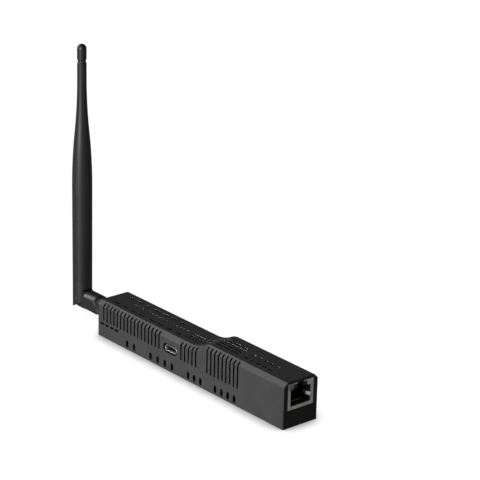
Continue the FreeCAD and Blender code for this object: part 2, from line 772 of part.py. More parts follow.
# Main board, with holes for the cover's pins and slots for the jack's legs

leg_place = jack_back + jack_length / 2
board_plate = block("board_plate", (left_end + board_from_end, plate_x),
                    (-board_side, board_side), (board_bottom, board_top))
through_board = (board_bottom - overcut, board_top + overcut)
board_cuts = []
for column, place_x in enumerate((post_left, post_left + post_pitch)):
    for side in (-1, 1):
        board_cuts.append(rod(f"board_hole_{column}_{side + 1}", "z", post_pin_radius + pin_gap,
                              through_board, (place_x, post_side * side)))
for side in (-1, 1):
    leg_y = ((jack_width / 2 - jack_sheet) * side, (jack_width / 2) * side)[::side]
    leg_slot_half = shield_leg_width / 2 + pin_gap
    board_cuts.append(block(f"board_leg_slot_{side + 1}",
                            (leg_place - leg_slot_half, leg_place + leg_slot_half),
                            (leg_y[0] - pin_gap, leg_y[1] + pin_gap), through_board))
node("main_board", less("board_cut", board_plate, *board_cuts))

# USB-C socket


def stadium_tube(name, width, height, plane_offset, length):
    body = new_body(name)
    sketch = sketch_on(body, name + "_outline", "XZ_Plane", plane_offset)
    stadium(sketch, (usb_place, usb_level), width, height)
    pad(body, sketch, length, backwards=True)
    return body


usb_inner_width = usb_width - usb_sheet * 2
usb_inner_height = usb_height - usb_sheet * 2
usb_rear = usb_mouth + usb_depth
usb_outer = stadium_tube("usb_outer", usb_width, usb_height, -usb_mouth, usb_depth)
usb_hollow = stadium_tube("usb_hollow", usb_inner_width, usb_inner_height, overcut - usb_mouth,
                          usb_depth + overcut * 2)
node("usb_shell", less("usb_shell_cut", usb_outer, usb_hollow))
tongue_front = usb_rear - usb_back - tongue_length
usb_plug_body = stadium_tube("usb_back_plug", usb_inner_width, usb_inner_height, usb_back - usb_rear,
                             usb_back)
usb_tongue = block("usb_tongue", (usb_place - tongue_width / 2, usb_place + tongue_width / 2),
                   (tongue_front, usb_rear),
                   (usb_level - tongue_thickness / 2, usb_level + tongue_thickness / 2))
usb_wall = block("usb_wall", (usb_place - usb_width / 2, usb_place + usb_width / 2),
                 (usb_rear, usb_rear + usb_back), (board_top, usb_level + usb_height / 2))
usb_riser = block("usb_riser", (usb_place - tongue_width / 2, usb_place + tongue_width / 2),
                  (-board_side, usb_rear + usb_back), (board_top, usb_level - usb_height / 2))
node("usb_insert", joined("usb_insert_solid", usb_plug_body, usb_tongue, usb_wall, usb_riser))
usb_contacts = []
for index in range(usb_contact_count):
    middle = usb_place + usb_contact_pitch * (index - (usb_contact_count - 1) / 2)
    for side in (-1, 1):
        level = usb_level + (tongue_thickness / 2) * side
        strip = (level, level + contact_thickness / 4 * side)[::side]
        usb_contacts.append(block(f"usb_contact_{index}_{side + 1}",
                                  (middle - usb_contact_pitch / 4, middle + usb_contact_pitch / 4),
                                  (tongue_front + usb_back / 2, usb_rear - usb_back), strip))
node("usb_contacts", group("usb_contact_group", usb_contacts))

# Network jack: metal case, plastic insert, contacts, indicator windows

case_side = jack_width / 2
cavity_bottom = board_top + jack_rim_bottom
cavity_top = jack_top - jack_rim_top
cavity_side = case_side - jack_rim_side
latch_top = cavity_top + latch_height
window_top = jack_top - jack_sheet - jack_gap
window_inner = case_side - jack_sheet - jack_gap - window_width
window_bottom = window_top - window_height
case_block = block("case_block", (jack_back, jack_face), (-case_side, case_side), (board_top, jack_top))
case_hollow = block("case_hollow", (jack_back + jack_sheet, jack_face - jack_sheet),
                    (jack_sheet - case_side, case_side - jack_sheet),
                    (board_top - overcut, jack_top - jack_sheet))
front_cut = (jack_face - jack_sheet - overcut, jack_face + overcut)
case_aperture = block("case_aperture", front_cut, (-cavity_side, cavity_side), (cavity_bottom, cavity_top))
case_crown = block("case_crown", front_cut, (-window_inner, window_inner),
                   (cavity_bottom, jack_top - crown_strip))
crown_half = window_inner - crown_strip_length
case_notch = block("case_notch", (jack_face - crown_setback, jack_face + overcut), (-crown_half, crown_half),
                   (window_bottom, jack_top + overcut))
case_windows = []
for side in (-1, 1):
    span = (window_inner * side, (window_inner + window_width) * side)[::side]
    case_windows.append(block(f"case_window_{side + 1}", front_cut, span, (window_bottom, window_top)))
case_box = less("case_box", case_block, case_hollow, case_aperture, case_crown, case_notch, *case_windows)
case_parts = [case_box]
for side in (-1, 1):
    leg_y = ((jack_width / 2 - jack_sheet) * side, (jack_width / 2) * side)[::side]
    case_parts.append(block(f"case_leg_{side + 1}",
                            (leg_place - shield_leg_width / 2, leg_place + shield_leg_width / 2), leg_y,
                            (board_top - shield_leg_length, board_top + shield_leg_width)))

# Each spring finger leaves the case's front rim, leans into the plug's way and comes back to its wall.
finger_base = cavity_side
finger_level = cavity_top - finger_drop - finger_height
for side in (-1, 1):
    finger_body = new_body(f"finger_{side + 1}")
    finger_sketch = sketch_on(finger_body, f"finger_outline_{side + 1}", "XY_Plane", finger_level)
    front = jack_face - jack_sheet
    outline = [(front, finger_base), (front - finger_length / 2, finger_base - finger_reach),
               (front - finger_length, finger_base), (front - finger_length, finger_base + jack_sheet),
               (front - finger_length / 2, finger_base - finger_reach + jack_sheet),
               (front, finger_base + jack_sheet)]
    polygon(finger_sketch, [(x, y * side) for x, y in outline][::side])
    pad(finger_body, finger_sketch, finger_height)
    case_parts.append(finger_body)
node("jack_shield", joined("jack_shield_solid", *case_parts))

insert_gap = jack_gap / 2
insert_front = jack_face - jack_sheet
insert_side = case_side - jack_sheet
insert_block = block("insert_block", (jack_back + jack_sheet, insert_front), (-insert_side, insert_side),
                     (board_top, jack_top - jack_sheet))
insert_mouth = insert_front + overcut
insert_cavity = block("insert_cavity", (insert_front - plug_depth, insert_mouth),
                      (-cavity_side, cavity_side), (cavity_bottom, cavity_top))
insert_latch = block("insert_latch", (insert_front - latch_depth, insert_mouth),
                     (-latch_width / 2, latch_width / 2), (cavity_bottom, latch_top))
finger_side = finger_base + jack_sheet + insert_gap
finger_room = block("finger_room", (insert_front - finger_length - insert_gap, insert_mouth),
                    (-finger_side, finger_side),
                    (finger_level - insert_gap, finger_level + finger_height + insert_gap))
window_rooms = []
windows = []
for side, name in ((-1, "jack_window_front"), (1, "jack_window_rear")):
    span = (window_inner * side, (window_inner + window_width) * side)[::side]
    window_rooms.append(block(f"window_room_{side + 1}", (insert_front - window_depth, insert_mouth), span,
                              (window_bottom, window_top)))
    windows.append(node(name, block(name + "_solid", (insert_front - window_depth, jack_face), span,
                                    (window_bottom, window_top))))
node("jack_insert", less("jack_insert_cut", insert_block, insert_cavity, insert_latch, finger_room,
                         *window_rooms))

contact_back = insert_front - plug_depth
contact_front = contact_back + contact_length
contacts = []
for index in range(contact_count):
    body = new_body(f"jack_contact_{index}")
    middle = contact_pitch * (index - (contact_count - 1) / 2)
    sketch = sketch_on(body, f"jack_contact_outline_{index}", "XZ_Plane", contact_width / 2 - middle)
    polygon(sketch, [(contact_front, cavity_bottom), (contact_back, cavity_bottom + contact_rise),
                     (contact_back, cavity_bottom + contact_rise - contact_thickness),
                     (contact_front - contact_thickness * 4, cavity_bottom)])
    pad(body, sketch, contact_width, backwards=True)
    contacts.append(body)
node("jack_contacts", group("jack_contact_group", contacts))

# Modules, chips and small parts on the board


def on_board(name, x, y, size, bottom=None):
    """A block of a given size, centred at x and y, standing on the board unless a level is given."""
    bottom = board_top if bottom is None else bottom
    return block(name, (x - size[0] / 2, x + size[0] / 2), (y - size[1] / 2, y + size[1] / 2),
                 (bottom, bottom + size[2]))


def module(prefix, place_x, length, width, can_shift, can_length, can_width, can_height):
    base = node(prefix + "_board", on_board(prefix + "_plate", place_x, as_size(0),
                                            (length, width, module_thickness)))
    top = board_top + module_thickness
    outer = on_board(prefix + "_can_block", place_x + can_shift, as_size(0),
                     (can_length, can_width, can_height), top)
    inner = on_board(prefix + "_can_room", place_x + can_shift, as_size(0),
                     (can_length - can_sheet * 2, can_width - can_sheet * 2, can_height - can_sheet), top)
    return base, node(prefix + "_can", less(prefix + "_can_cut", outer, inner))


module_thickness = dimension("module_thickness", 0.8)
can_sheet = dimension("can_sheet", 0.2)
radio_place = radio_left + radio_length / 2
radio_width = dimension("radio_width", 15.0)
radio_can_shift = dimension("radio_can_shift", 2.5)
radio_can_length = dimension("radio_can_length", 15.0)
radio_can_width = dimension("radio_can_width", 13.0)
radio_can_height = dimension("radio_can_height", 2.2)
module("radio", radio_place, radio_length, radio_width, radio_can_shift, radio_can_length, radio_can_width,
       radio_can_height)
processor_place = processor_left + processor_length / 2
processor_width = dimension("processor_width", 16.4)
processor_can_shift = dimension("processor_can_shift", -3.0)
processor_can_length = dimension("processor_can_length", 17.6)
processor_can_width = dimension("processor_can_width", 14.4)
processor_can_height = dimension("processor_can_height", 2.4)
module("processor", processor_place, processor_length, processor_width, processor_can_shift,
       processor_can_length, processor_can_width, processor_can_height)

chip_height = dimension("chip_height", 0.9)
network_chip_size = dimension("network_chip_size", 5.0)
bridge_chip_size = dimension("bridge_chip_size", 4.0)
crystal_length = dimension("crystal_length", 3.2)
crystal_width = dimension("crystal_width", 2.5)
network_chip_place = (capacitor_middle + dimension("network_chip_shift", 0.2),
                      dimension("network_chip_side", -4.4))
bridge_chip_place = (usb_place - dimension("bridge_chip_before_usb", 9.6), dimension("bridge_chip_side", 4.0))
crystal_place = (radio_right + dimension("crystal_past_radio", 7.2), dimension("crystal_side", 5.2))
inductor_place = (radio_right + dimension("inductor_past_radio", 8.4), dimension("inductor_side", -4.2))
node("network_chip", on_board("network_chip_block", *network_chip_place,
                              (network_chip_size, network_chip_size, chip_height)))
node("bridge_chip", on_board("bridge_chip_block", *bridge_chip_place,
                             (bridge_chip_size, bridge_chip_size, chip_height)))
node("crystal_can", on_board("crystal_block", *crystal_place, (crystal_length, crystal_width, chip_height)))

inductor_radius = dimension("inductor_radius", 2.2)
inductor_flange = dimension("inductor_flange", 0.8)
inductor_height = dimension("inductor_height", 3.2)
inductor_side_length = dimension("inductor_side_length", 5.06)
inductor_square = (inductor_side_length, inductor_side_length, inductor_flange)
node("power_inductor", joined(
    "inductor_solid",
    on_board("inductor_foot", *inductor_place, inductor_square),
    on_board("inductor_head", *inductor_place, inductor_square,
             board_top + inductor_height - inductor_flange),
    rod("inductor_coil", "z", inductor_radius, (board_top, board_top + inductor_height), inductor_place)))

capacitor_radius = dimension("capacitor_radius", 3.15)
capacitor_height = dimension("capacitor_height", 7.7)
capacitor_foot = dimension("capacitor_foot", 0.9)
capacitor_square = dimension("capacitor_square", 6.5)
node("bulk_capacitor", joined(
    "capacitor_solid",
    on_board("capacitor_base", *capacitor_place, (capacitor_square, capacitor_square, capacitor_foot)),
    rod("capacitor_can", "z", capacitor_radius, (board_top, board_top + capacitor_height), capacitor_place)))

# Transformer: a ferrite core round an upright spool, on a base that carries the spool

core_place = core_left + core_length / 2
core_width = dimension("core_width", 9.0)
core_height = dimension("core_height", 8.4)
core_plate = dimension("core_plate", 1.5)
core_end = dimension("core_end", 1.4)
core_leg_radius = dimension("core_leg_radius", 1.6)
spool_gap = dimension("spool_gap", 0.1)
spool_wall = dimension("spool_wall", 0.5)
spool_base = dimension("spool_base", 2.0)
spool_arm_width = dimension("spool_arm_width", 3.0)
spool_margin = dimension("spool_margin", 1.0)
winding_radius = dimension("winding_radius", 3.4)
core_centre = (core_place, as_size(0))
core_bottom = board_top + spool_base
window_low = core_bottom + core_plate
window_high = core_bottom + core_height - core_plate
core_block = on_board("core_block", *core_centre, (core_length, core_width, core_height), core_bottom)
core_front = core_width / -2
core_window = block("core_window", (core_left + core_end, core_right - core_end),
                    (core_front - overcut, overcut - core_front), (window_low, window_high))
core_leg = rod("core_leg", "z", core_leg_radius, (core_bottom, core_bottom + core_height), core_centre)
node("transformer_core", joined("core_solid", less("core_frame", core_block, core_window), core_leg))
spool_radius = core_leg_radius + spool_gap + spool_wall
spool_front = core_front - spool_margin
arm_span = (core_place - spool_arm_width / 2, core_place + spool_arm_width / 2)
spool_foot = on_board("spool_foot", *core_centre, (core_length, core_width + spool_margin * 2, spool_base))
spool_arm = block("spool_arm", arm_span, (spool_front, core_front),
                  (board_top, window_low + spool_wall + spool_gap))
spool_shelf = block("spool_shelf", arm_span, (spool_front, -core_leg_radius - spool_gap * 2),
                    (window_low, window_low + spool_wall))
spool_lower = rod("spool_lower", "z", winding_radius, (window_low, window_low + spool_wall), core_centre)
spool_upper = rod("spool_upper", "z", winding_radius, (window_high - spool_wall, window_high), core_centre)
spool_tube = rod("spool_tube", "z", spool_radius, (window_low, window_high), core_centre)
spool_hole = rod("spool_hole", "z", core_leg_radius + spool_gap,
                 (window_low - spool_gap, window_high + spool_gap), core_centre)
spool_solid = joined("spool_solid", spool_foot, spool_arm, spool_shelf, spool_lower, spool_upper, spool_tube)
node("transformer_bobbin", less("spool_cut", spool_solid, spool_hole))
winding_span = (window_low + spool_wall, window_high - spool_wall)
node("transformer_winding", less("winding_cut",
                                 rod("winding_outer", "z", winding_radius, winding_span, core_centre),
                                 rod("winding_inner", "z", spool_radius, winding_span, core_centre)))

small_length = dimension("small_length", 1.6)
small_width = dimension("small_width", 0.8)
small_pitch = dimension("small_pitch", 1.42)
led_pitch = dimension("led_pitch", 3.2)
led_height = dimension("led_height", 0.6)
supply_column = radio_right + dimension("supply_column_past_radio", 2.2)
socket_column = usb_place + dimension("socket_column_past_usb", 8.2)
core_column = core_right + dimension("core_column_past_core", 1.0)
jack_column = jack_back - dimension("jack_column_before_jack", 2.0)
# How many small parts stand in each column
supply_capacitor_count = 4
socket_capacitor_count = 4
core_capacitor_count = 2
supply_resistor_count = 3
socket_resistor_count = 3
jack_resistor_count = 1
led_count = 3
# Each row: middle of the column along X, first middle along Y, how many
small_parts = {
    "chip_capacitors": (small_width, [(supply_column, dimension("supply_capacitor_side", -2.6),
                                       supply_capacitor_count),
                                      (socket_column, dimension("socket_capacitor_side", -4.2),
                                       socket_capacitor_count),
                                      (core_column, dimension("core_capacitor_side", -7.7),
                                       core_capacitor_count)]),
    "chip_resistors": (small_width / 2, [(supply_column, dimension("supply_resistor_side", 3.4),
                                          supply_resistor_count),
                                         (socket_column, dimension("socket_resistor_side", 4.4),
                                          socket_resistor_count),
                                         (jack_column, dimension("jack_resistor_side", -4.4),
                                          jack_resistor_count)]),
}
for name, (height, rows) in small_parts.items():
    solids = []
    for row, (column, first, count) in enumerate(rows):
        for index in range(count):
            solids.append(on_board(f"{name}_{row}_{index}", column, first + small_pitch * index,
                                   (small_length, small_width, height)))
    node(name, group(name + "_group", solids))
led_place = (usb_place - dimension("led_before_usb", 4.6), dimension("led_side", 3.2))
leds = [on_board(f"led_{index}", led_place[0] + led_pitch * index, led_place[1],
                 (small_length, small_width, led_height)) for index in range(led_count)]
node("status_leds", group("led_group", leds))

# Coax connector in the left end. Its pieces are turned about the antenna's swivel axis: distances are counted
# outwards from the housing's left end face, so outward places are negative along X.


def on_axis(name, points):
    """A turned piece on the swivel axis, from (distance outwards, radius) points."""
    body = turned(name + "_body", [(-as_size(out), radius) for out, radius in points])
    place(body, -half_length, 0, antenna_level)
    return node(name, body)


flange_back = wall + flange_thickness
tail_radius = dielectric_radius + tail_wall
dielectric_front = barrel_reach - dielectric_inset
on_axis("connector_barrel", [
    (barrel_reach, dielectric_radius), (barrel_reach, barrel_radius), (-wall, barrel_radius),
    (-wall, flange_radius), (-flange_back, flange_radius), (-flange_back, tail_radius),
    (-barrel_tail, tail_radius), (-barrel_tail, dielectric_radius)])
on_axis("connector_insulator", [
    (dielectric_front, contact_radius), (dielectric_front, dielectric_radius),
    (-barrel_tail, dielectric_radius), (-barrel_tail, contact_radius)])
on_axis("connector_contact", [
    (dielectric_front, antenna_pin_radius + swivel_gap), (dielectric_front, contact_radius),
    (-barrel_tail - contact_tail, contact_radius), (-barrel_tail - contact_tail, zero), (zero, zero),
    (zero, antenna_pin_radius + swivel_gap)])
on_axis("panel_washer", [
    (zero, barrel_radius + thread_gap), (zero, washer_radius), (washer_thickness, washer_radius),
    (washer_thickness, barrel_radius + thread_gap)])
nut_prism = doc.addObject("Part::Prism", "nut_prism")
nut_prism.Polygon = 6
bind(nut_prism, "Circumradius", nut_radius)
bind(nut_prism, "Height", nut_thickness)
nut_outer_face = -half_length - washer_thickness - nut_thickness
place(nut_prism, nut_outer_face, 0, antenna_level, rotation=TURNS["x"])
nut_hole = rod("nut_hole", "x", barrel_radius + thread_gap, (nut_outer_face - overcut, left_end),
               (zero, antenna_level))
node("panel_nut", less("panel_nut_cut", nut_prism, nut_hole))

# Knurled coupling nut, screwed home on the barrel; its lip turns round the elbow's stem
lip_radius = stem_radius + swivel_gap
nut_bore = barrel_radius + thread_gap
coupling = on_axis("coupling_nut", [
    (coupling_start, nut_bore), (coupling_start, coupling_radius), (coupling_end, coupling_radius),
    (coupling_end, lip_radius), (coupling_end - coupling_lip, lip_radius),
    (coupling_end - coupling_lip, nut_bore)])
knurl_sketch = sketch_on(coupling, "knurl_groove", "YZ_Plane", -coupling_start)
knurl_top = coupling_radius + knurl_depth / 3
polygon(knurl_sketch, [(zero, coupling_radius - knurl_depth), (knurl_depth, knurl_top),
                       (-knurl_depth, knurl_top)])
knurl = pocket(coupling, knurl_sketch, coupling_end - coupling_start)
knurl_ring = coupling.newObject("PartDesign::PolarPattern", "knurl_ring")
knurl_ring.Originals = [knurl]
knurl_ring.Axis = (knurl_sketch, ["N_Axis"])
knurl_ring.Angle = 360
bind(knurl_ring, "Occurrences", knurl_count)
coupling.Tip = knurl_ring

# Elbow and what turns with it

pivot = left_end - pivot_reach
elbow_end = left_end - elbow_start
shoulder = elbow_end - elbow_length
on_pivot = (pivot, antenna_level)
rim_radius = elbow_radius - elbow_chamfer
elbow_round = turned("elbow_round", [
    (shoulder, zero), (shoulder, rim_radius), (shoulder + elbow_chamfer, elbow_radius),
    (elbow_end - elbow_chamfer, elbow_radius), (elbow_end, rim_radius), (elbow_end, zero)])
place(elbow_round, 0, 0, antenna_level)
elbow_band = block("elbow_band", (shoulder, elbow_end), (-elbow_flat, elbow_flat),
                   (antenna_level - elbow_radius, antenna_level + elbow_radius))
elbow_grip = common("elbow_grip", elbow_round, elbow_band)
tongue_round = rod("tongue_round", "y", tongue_radius, (-tongue_half, tongue_half), on_pivot)
tongue_neck = block("tongue_neck", (pivot, shoulder), (-tongue_half, tongue_half),
                    (antenna_level - tongue_radius, antenna_level + tongue_radius))
slot_half = tongue_slot / 2
lead_slot = block("lead_slot", (pivot - tongue_radius - overcut, pivot + slot_half), (-slot_half, slot_half),
                  (antenna_level - slot_half, antenna_level + tongue_radius + overcut))
lead_bore = rod("lead_bore", "x", slot_half, (pivot, elbow_end), (zero, antenna_level))
stem_end = elbow_end - stem_depth
stem_room = rod("stem_room", "x", stem_radius, (stem_end, elbow_end + overcut), (zero, antenna_level))
pin_room = rod("pin_room", "y", hinge_radius + hinge_gap,
               (-tongue_half - overcut, tongue_half + overcut), on_pivot)
elbow_solid = joined("elbow_solid", elbow_grip, tongue_round, tongue_neck)
node("elbow", less("elbow_cut", elbow_solid, lead_slot, lead_bore, stem_room, pin_room))
stem_outer = elbow_start + stem_depth
stem_front = stem_inner - stem_flange
stem_flange_radius = nut_bore - stem_flange_gap
on_axis("elbow_stem", [
    (stem_outer, stem_bore), (stem_outer, stem_radius), (stem_inner, stem_radius),
    (stem_inner, stem_flange_radius), (stem_front, stem_flange_radius), (stem_front, stem_bore)])
on_axis("stem_insulator", [
    (stem_outer, antenna_pin_radius), (stem_outer, stem_bore), (stem_front, stem_bore),
    (stem_front, antenna_pin_radius)])
pin_end = left_end - barrel_reach + antenna_pin_reach
node("antenna_pin", rod("antenna_pin_rod", "x", antenna_pin_radius, (stem_end, pin_end),
                        (zero, antenna_level)))

# The coax leaves the stem, turns upwards at the hinge's axis and meets its other half above the tongue.
turn_radius = lead_radius * 2
turn_middle = turn_radius * (1 - math.sqrt(0.5))


def on_side(x, z):
    """A point in the plane through the middle of the antenna and the housing."""
    return FreeCAD.Vector(as_size(x).number, 0, as_size(z).number)


lead_turn = Part.Arc(on_side(pivot + turn_radius, antenna_level),
                     on_side(pivot + turn_middle, antenna_level + turn_middle),
                     on_side(pivot, antenna_level + turn_radius))
lead_start = on_side(stem_end, antenna_level)
lead_top = on_side(pivot, antenna_level + tongue_radius)
lead_path = Part.Wire([
    Part.LineSegment(lead_start, lead_turn.StartPoint).toShape(), lead_turn.toShape(),
    Part.LineSegment(lead_turn.EndPoint, lead_top).toShape()])


def tube_along(name, path, radius, start, direction):
    section = Part.Wire([Part.makeCircle(radius, start, direction)])
    feature = doc.addObject("Part::Feature", name)
    feature.Shape = path.makePipeShell([section], True, True)
    return feature


node("elbow_lead", tube_along("elbow_lead_tube", lead_path, lead_radius.number, lead_start,
                              FreeCAD.Vector(-1, 0, 0)))

# Antenna. Its pieces are modelled from the hinge's axis upwards and placed there.


def at_pivot(body):
    return place(body, pivot, 0, antenna_level)


knuckle = new_body("knuckle_body")
knuckle_sketch = sketch_on(knuckle, "knuckle_round", "XY_Plane", -heel_drop)
circle(knuckle_sketch, (zero, zero), knuckle_radius)
pad(knuckle, knuckle_sketch, heel_drop + knuckle_above)
sole_sketch = sketch_on(knuckle, "sole_slope", "XZ_Plane", knuckle_radius + overcut)
polygon(sole_sketch, [(-heel_back, -heel_drop), (-heel_back, -heel_drop - overcut),
                      (knuckle_radius + overcut, -heel_drop - overcut),
                      (knuckle_radius + overcut, -toe_drop), (knuckle_radius, -toe_drop)])
pocket(knuckle, sole_sketch, (knuckle_radius + overcut) * 2)
spigot_sketch = sketch_on(knuckle, "knuckle_spigot", "XY_Plane", knuckle_above)
spigot_radius = sleeve_radius - sleeve_wall
circle(spigot_sketch, (zero, zero), spigot_radius)
pad(knuckle, spigot_sketch, spigot_height)
fork_sketch = sketch_on(knuckle, "fork_slot", "YZ_Plane", knuckle_radius + overcut)
rectangle(fork_sketch, (-fork_half, fork_half), (-heel_drop - overcut, fork_height))
pocket(knuckle, fork_sketch, (knuckle_radius + overcut) * 2)
knuckle_bore = sketch_on(knuckle, "knuckle_bore", "XY_Plane", knuckle_above + spigot_height)
circle(knuckle_bore, (zero, zero), lead_radius)
pocket(knuckle, knuckle_bore, knuckle_above + spigot_height - fork_height)
hinge_sketch = sketch_on(knuckle, "hinge_hole", "XZ_Plane", knuckle_radius)
circle(hinge_sketch, (zero, zero), hinge_radius)
pocket(knuckle, hinge_sketch, knuckle_radius * 2)
at_pivot(knuckle)
node("antenna_knuckle", knuckle)

hinge_stubs = []
hinge_outer = knuckle_radius - hinge_inset
hinge_inner = slot_half + hinge_gap
for side in (-1, 1):
    span = (hinge_inner * side, hinge_outer * side)[::side]
    hinge_stubs.append(rod(f"hinge_stub_{side + 1}", "y", hinge_radius, span, on_pivot))
node("hinge_pins", group("hinge_pin_group", hinge_stubs))

# Sleeve: straight, then an S-shaped flare of two equal arcs, a groove near the top and a domed tip
sleeve = new_body("sleeve_body")
sleeve_sketch = sketch_on(sleeve, "sleeve_profile", "XZ_Plane")


sleeve_bore = sleeve_radius - sleeve_wall
sleeve_bore_top = flare_start + bore_past_flare
rod_bore_top = antenna_height - tip_wall
radiator_top = sleeve_bore_top - sleeve_bore - radiator_gap


def sleeve_profile(sketch):
    dome_start = antenna_height - tip_radius
    flare_end = antenna_height - tip_length
    middle = ((sleeve_radius + tip_radius) / 2, (flare_start + flare_end) / 2)
    groove_low = antenna_height - groove_drop - groove_width / 2
    groove_high = groove_low + groove_width
    groove_radius = tip_radius - groove_depth
    points = [
        (sleeve_bore, knuckle_above), (knuckle_radius, knuckle_above), (sleeve_radius, flare_start),
        middle, (tip_radius, flare_end), (tip_radius, groove_low),
        (groove_radius, groove_low + groove_depth), (groove_radius, groove_high - groove_depth),
        (tip_radius, groove_high), (tip_radius, dome_start), (zero, antenna_height),
        (zero, rod_bore_top), (rod_bore_radius, rod_bore_top), (rod_bore_radius, sleeve_bore_top),
        (sleeve_bore, sleeve_bore_top - sleeve_bore)]
    drop = (sleeve_radius - tip_radius).number
    run = (flare_end - flare_start).number
    flare_radius = (run ** 2 + drop ** 2) / (4 * drop)
    half_turn = 2 * math.atan2(drop, run)
    upward = FreeCAD.Vector(0, 0, 1)
    lower = Part.Circle(vector(points[2]) - FreeCAD.Vector(flare_radius, 0, 0), upward, flare_radius)
    upper = Part.Circle(vector(points[4]) + FreeCAD.Vector(flare_radius, 0, 0), upward, flare_radius)
    dome = Part.Circle(vector((zero, dome_start)), upward, tip_radius.number)
    arcs = {
        2: Part.ArcOfCircle(lower, 0.0, half_turn),
        3: Part.ArcOfCircle(upper, math.pi, math.pi + half_turn),
        9: Part.ArcOfCircle(dome, 0.0, math.pi / 2),
    }
    backward = (3,)
    count = len(points)
    for index in range(count):
        straight = Part.LineSegment(vector(points[index]), vector(points[(index + 1) % count]))
        sketch.addGeometry(arcs.get(index, straight), False)
    for index in range(count):
        following = (index + 1) % count
        leaving = 1 if index in backward else 2
        entering = 2 if following in backward else 1
        sketch.addConstraint(Sketcher.Constraint("Coincident", index, leaving, following, entering))
        fix_point(sketch, index, 2 if index in backward else 1, points[index])
    for index, centre_height in ((2, flare_start), (3, flare_end), (9, dome_start)):
        row = sketch.addConstraint(Sketcher.Constraint("DistanceY", -1, 1, index, 3, centre_height.number))
        bind(sketch, f"Constraints[{row}]", centre_height)


sleeve_profile(sleeve_sketch)
sleeve_turn = sleeve.newObject("PartDesign::Revolution", "sleeve_turn")
sleeve_turn.Profile = sleeve_sketch
sleeve_turn.ReferenceAxis = (sleeve_sketch, ["V_Axis"])
sleeve_turn.Angle = 360
sleeve.Tip = sleeve_turn
at_pivot(sleeve)
node("antenna_sleeve", sleeve)


def upright(name, radius, low, high, bore=None):
    """A round rod or tube on the antenna's axis, between two heights above the hinge."""
    span = (antenna_level + low, antenna_level + high)
    outer = rod(name + "_outer", "z", radius, span, (pivot, zero))
    if bore is None:
        return node(name, outer)
    return node(name, less(name + "_cut", outer, rod(name + "_bore", "z", bore, span, (pivot, zero))))


upright("antenna_lead", lead_radius, tongue_radius + lead_gap, radiator_top)
upright("radiator_tube", radiator_radius, radiator_top - radiator_length, radiator_top, lead_radius)
upright("radiator_wire", whip_radius, radiator_top, rod_bore_top - whip_gap)

# Pigtail inside the housing: from the connector's tail down to the radio board
receptacle_place = radio_left + dimension("receptacle_inset", 2.4)
receptacle_side = dimension("receptacle_side", 2.7)
receptacle_height = dimension("receptacle_height", 0.8)
plug_radius = dimension("plug_radius", 1.5)
plug_rise = dimension("plug_rise", 1.7)
pigtail_radius = dimension("pigtail_radius", 0.55)
radio_top = board_top + module_thickness
node("coax_receptacle", on_board("receptacle_block", receptacle_place, zero,
                                 (receptacle_side, receptacle_side, receptacle_height), radio_top))
plug_bottom = radio_top + receptacle_height
plug_level = plug_bottom + plug_rise / 2
node("coax_plug", rod("coax_plug_rod", "z", plug_radius, (plug_bottom, plug_bottom + plug_rise),
                      (receptacle_place, zero)))
tail_end = left_end + barrel_tail + contact_tail
plug_front = receptacle_place - plug_radius
run_length = (plug_front - tail_end) / 3
pigtail_points = [on_side(tail_end, antenna_level), on_side(tail_end + run_length, antenna_level),
                  on_side(plug_front - run_length, plug_level), on_side(plug_front, plug_level)]


def rounded_route(points):
    """Straight runs joined by tangent arcs, each as large as its two runs allow."""
    edges = []
    start = points[0]
    for before, corner, after in zip(points, points[1:], points[2:]):
        incoming, outgoing = corner - before, after - corner
        turn = incoming.getAngle(outgoing)
        setback = 0.45 * min(incoming.Length, outgoing.Length)
        radius = setback / math.tan(turn / 2)
        first = corner - FreeCAD.Vector(incoming).normalize() * setback
        last = corner + FreeCAD.Vector(outgoing).normalize() * setback
        inward = (FreeCAD.Vector(outgoing).normalize() - FreeCAD.Vector(incoming).normalize()).normalize()
        middle = corner + inward * (radius / math.cos(turn / 2) - radius)
        edges.append(Part.LineSegment(start, first).toShape())
        edges.append(Part.Arc(first, middle, last).toShape())
        print(f"bend radius {radius:.2f}")
        start = last
    edges.append(Part.LineSegment(start, points[-1]).toShape())
    return Part.Wire(edges)


pigtail_route = rounded_route(pigtail_points)
pigtail = tube_along("coax_pigtail_tube", pigtail_route, pigtail_radius.number, pigtail_points[0],
                     FreeCAD.Vector(1, 0, 0))
straight_volume = math.pi * pigtail_radius.number ** 2 * pigtail_route.Length
print(f"pigtail volume ratio {pigtail.Shape.Volume / straight_volume:.3f}")
node("coax_pigtail", pigtail)

doc.recompute()
for thing in doc.Objects:
    if "Invalid" in thing.State or "Error" in thing.State:
        raise RuntimeError(f"{thing.Name} ({thing.Label}) failed: {thing.State}")
os.makedirs("parts", exist_ok=True)
for name, thing in nodes.items():
    shape = thing.Shape
    if shape.isNull() or not shape.isValid() or not shape.Solids:
        raise RuntimeError(f"{name} has no valid solid")
    shape.exportStep(f"parts/{name}.step")
    print(f"{name}: {len(shape.Solids)} solids, {shape.Volume:.1f} mm3")
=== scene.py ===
"""Finishes, fine pieces, floor, light and camera of a bar-shaped smart home radio stick."""

import json
import math

import bpy
from mathutils import Matrix, Vector


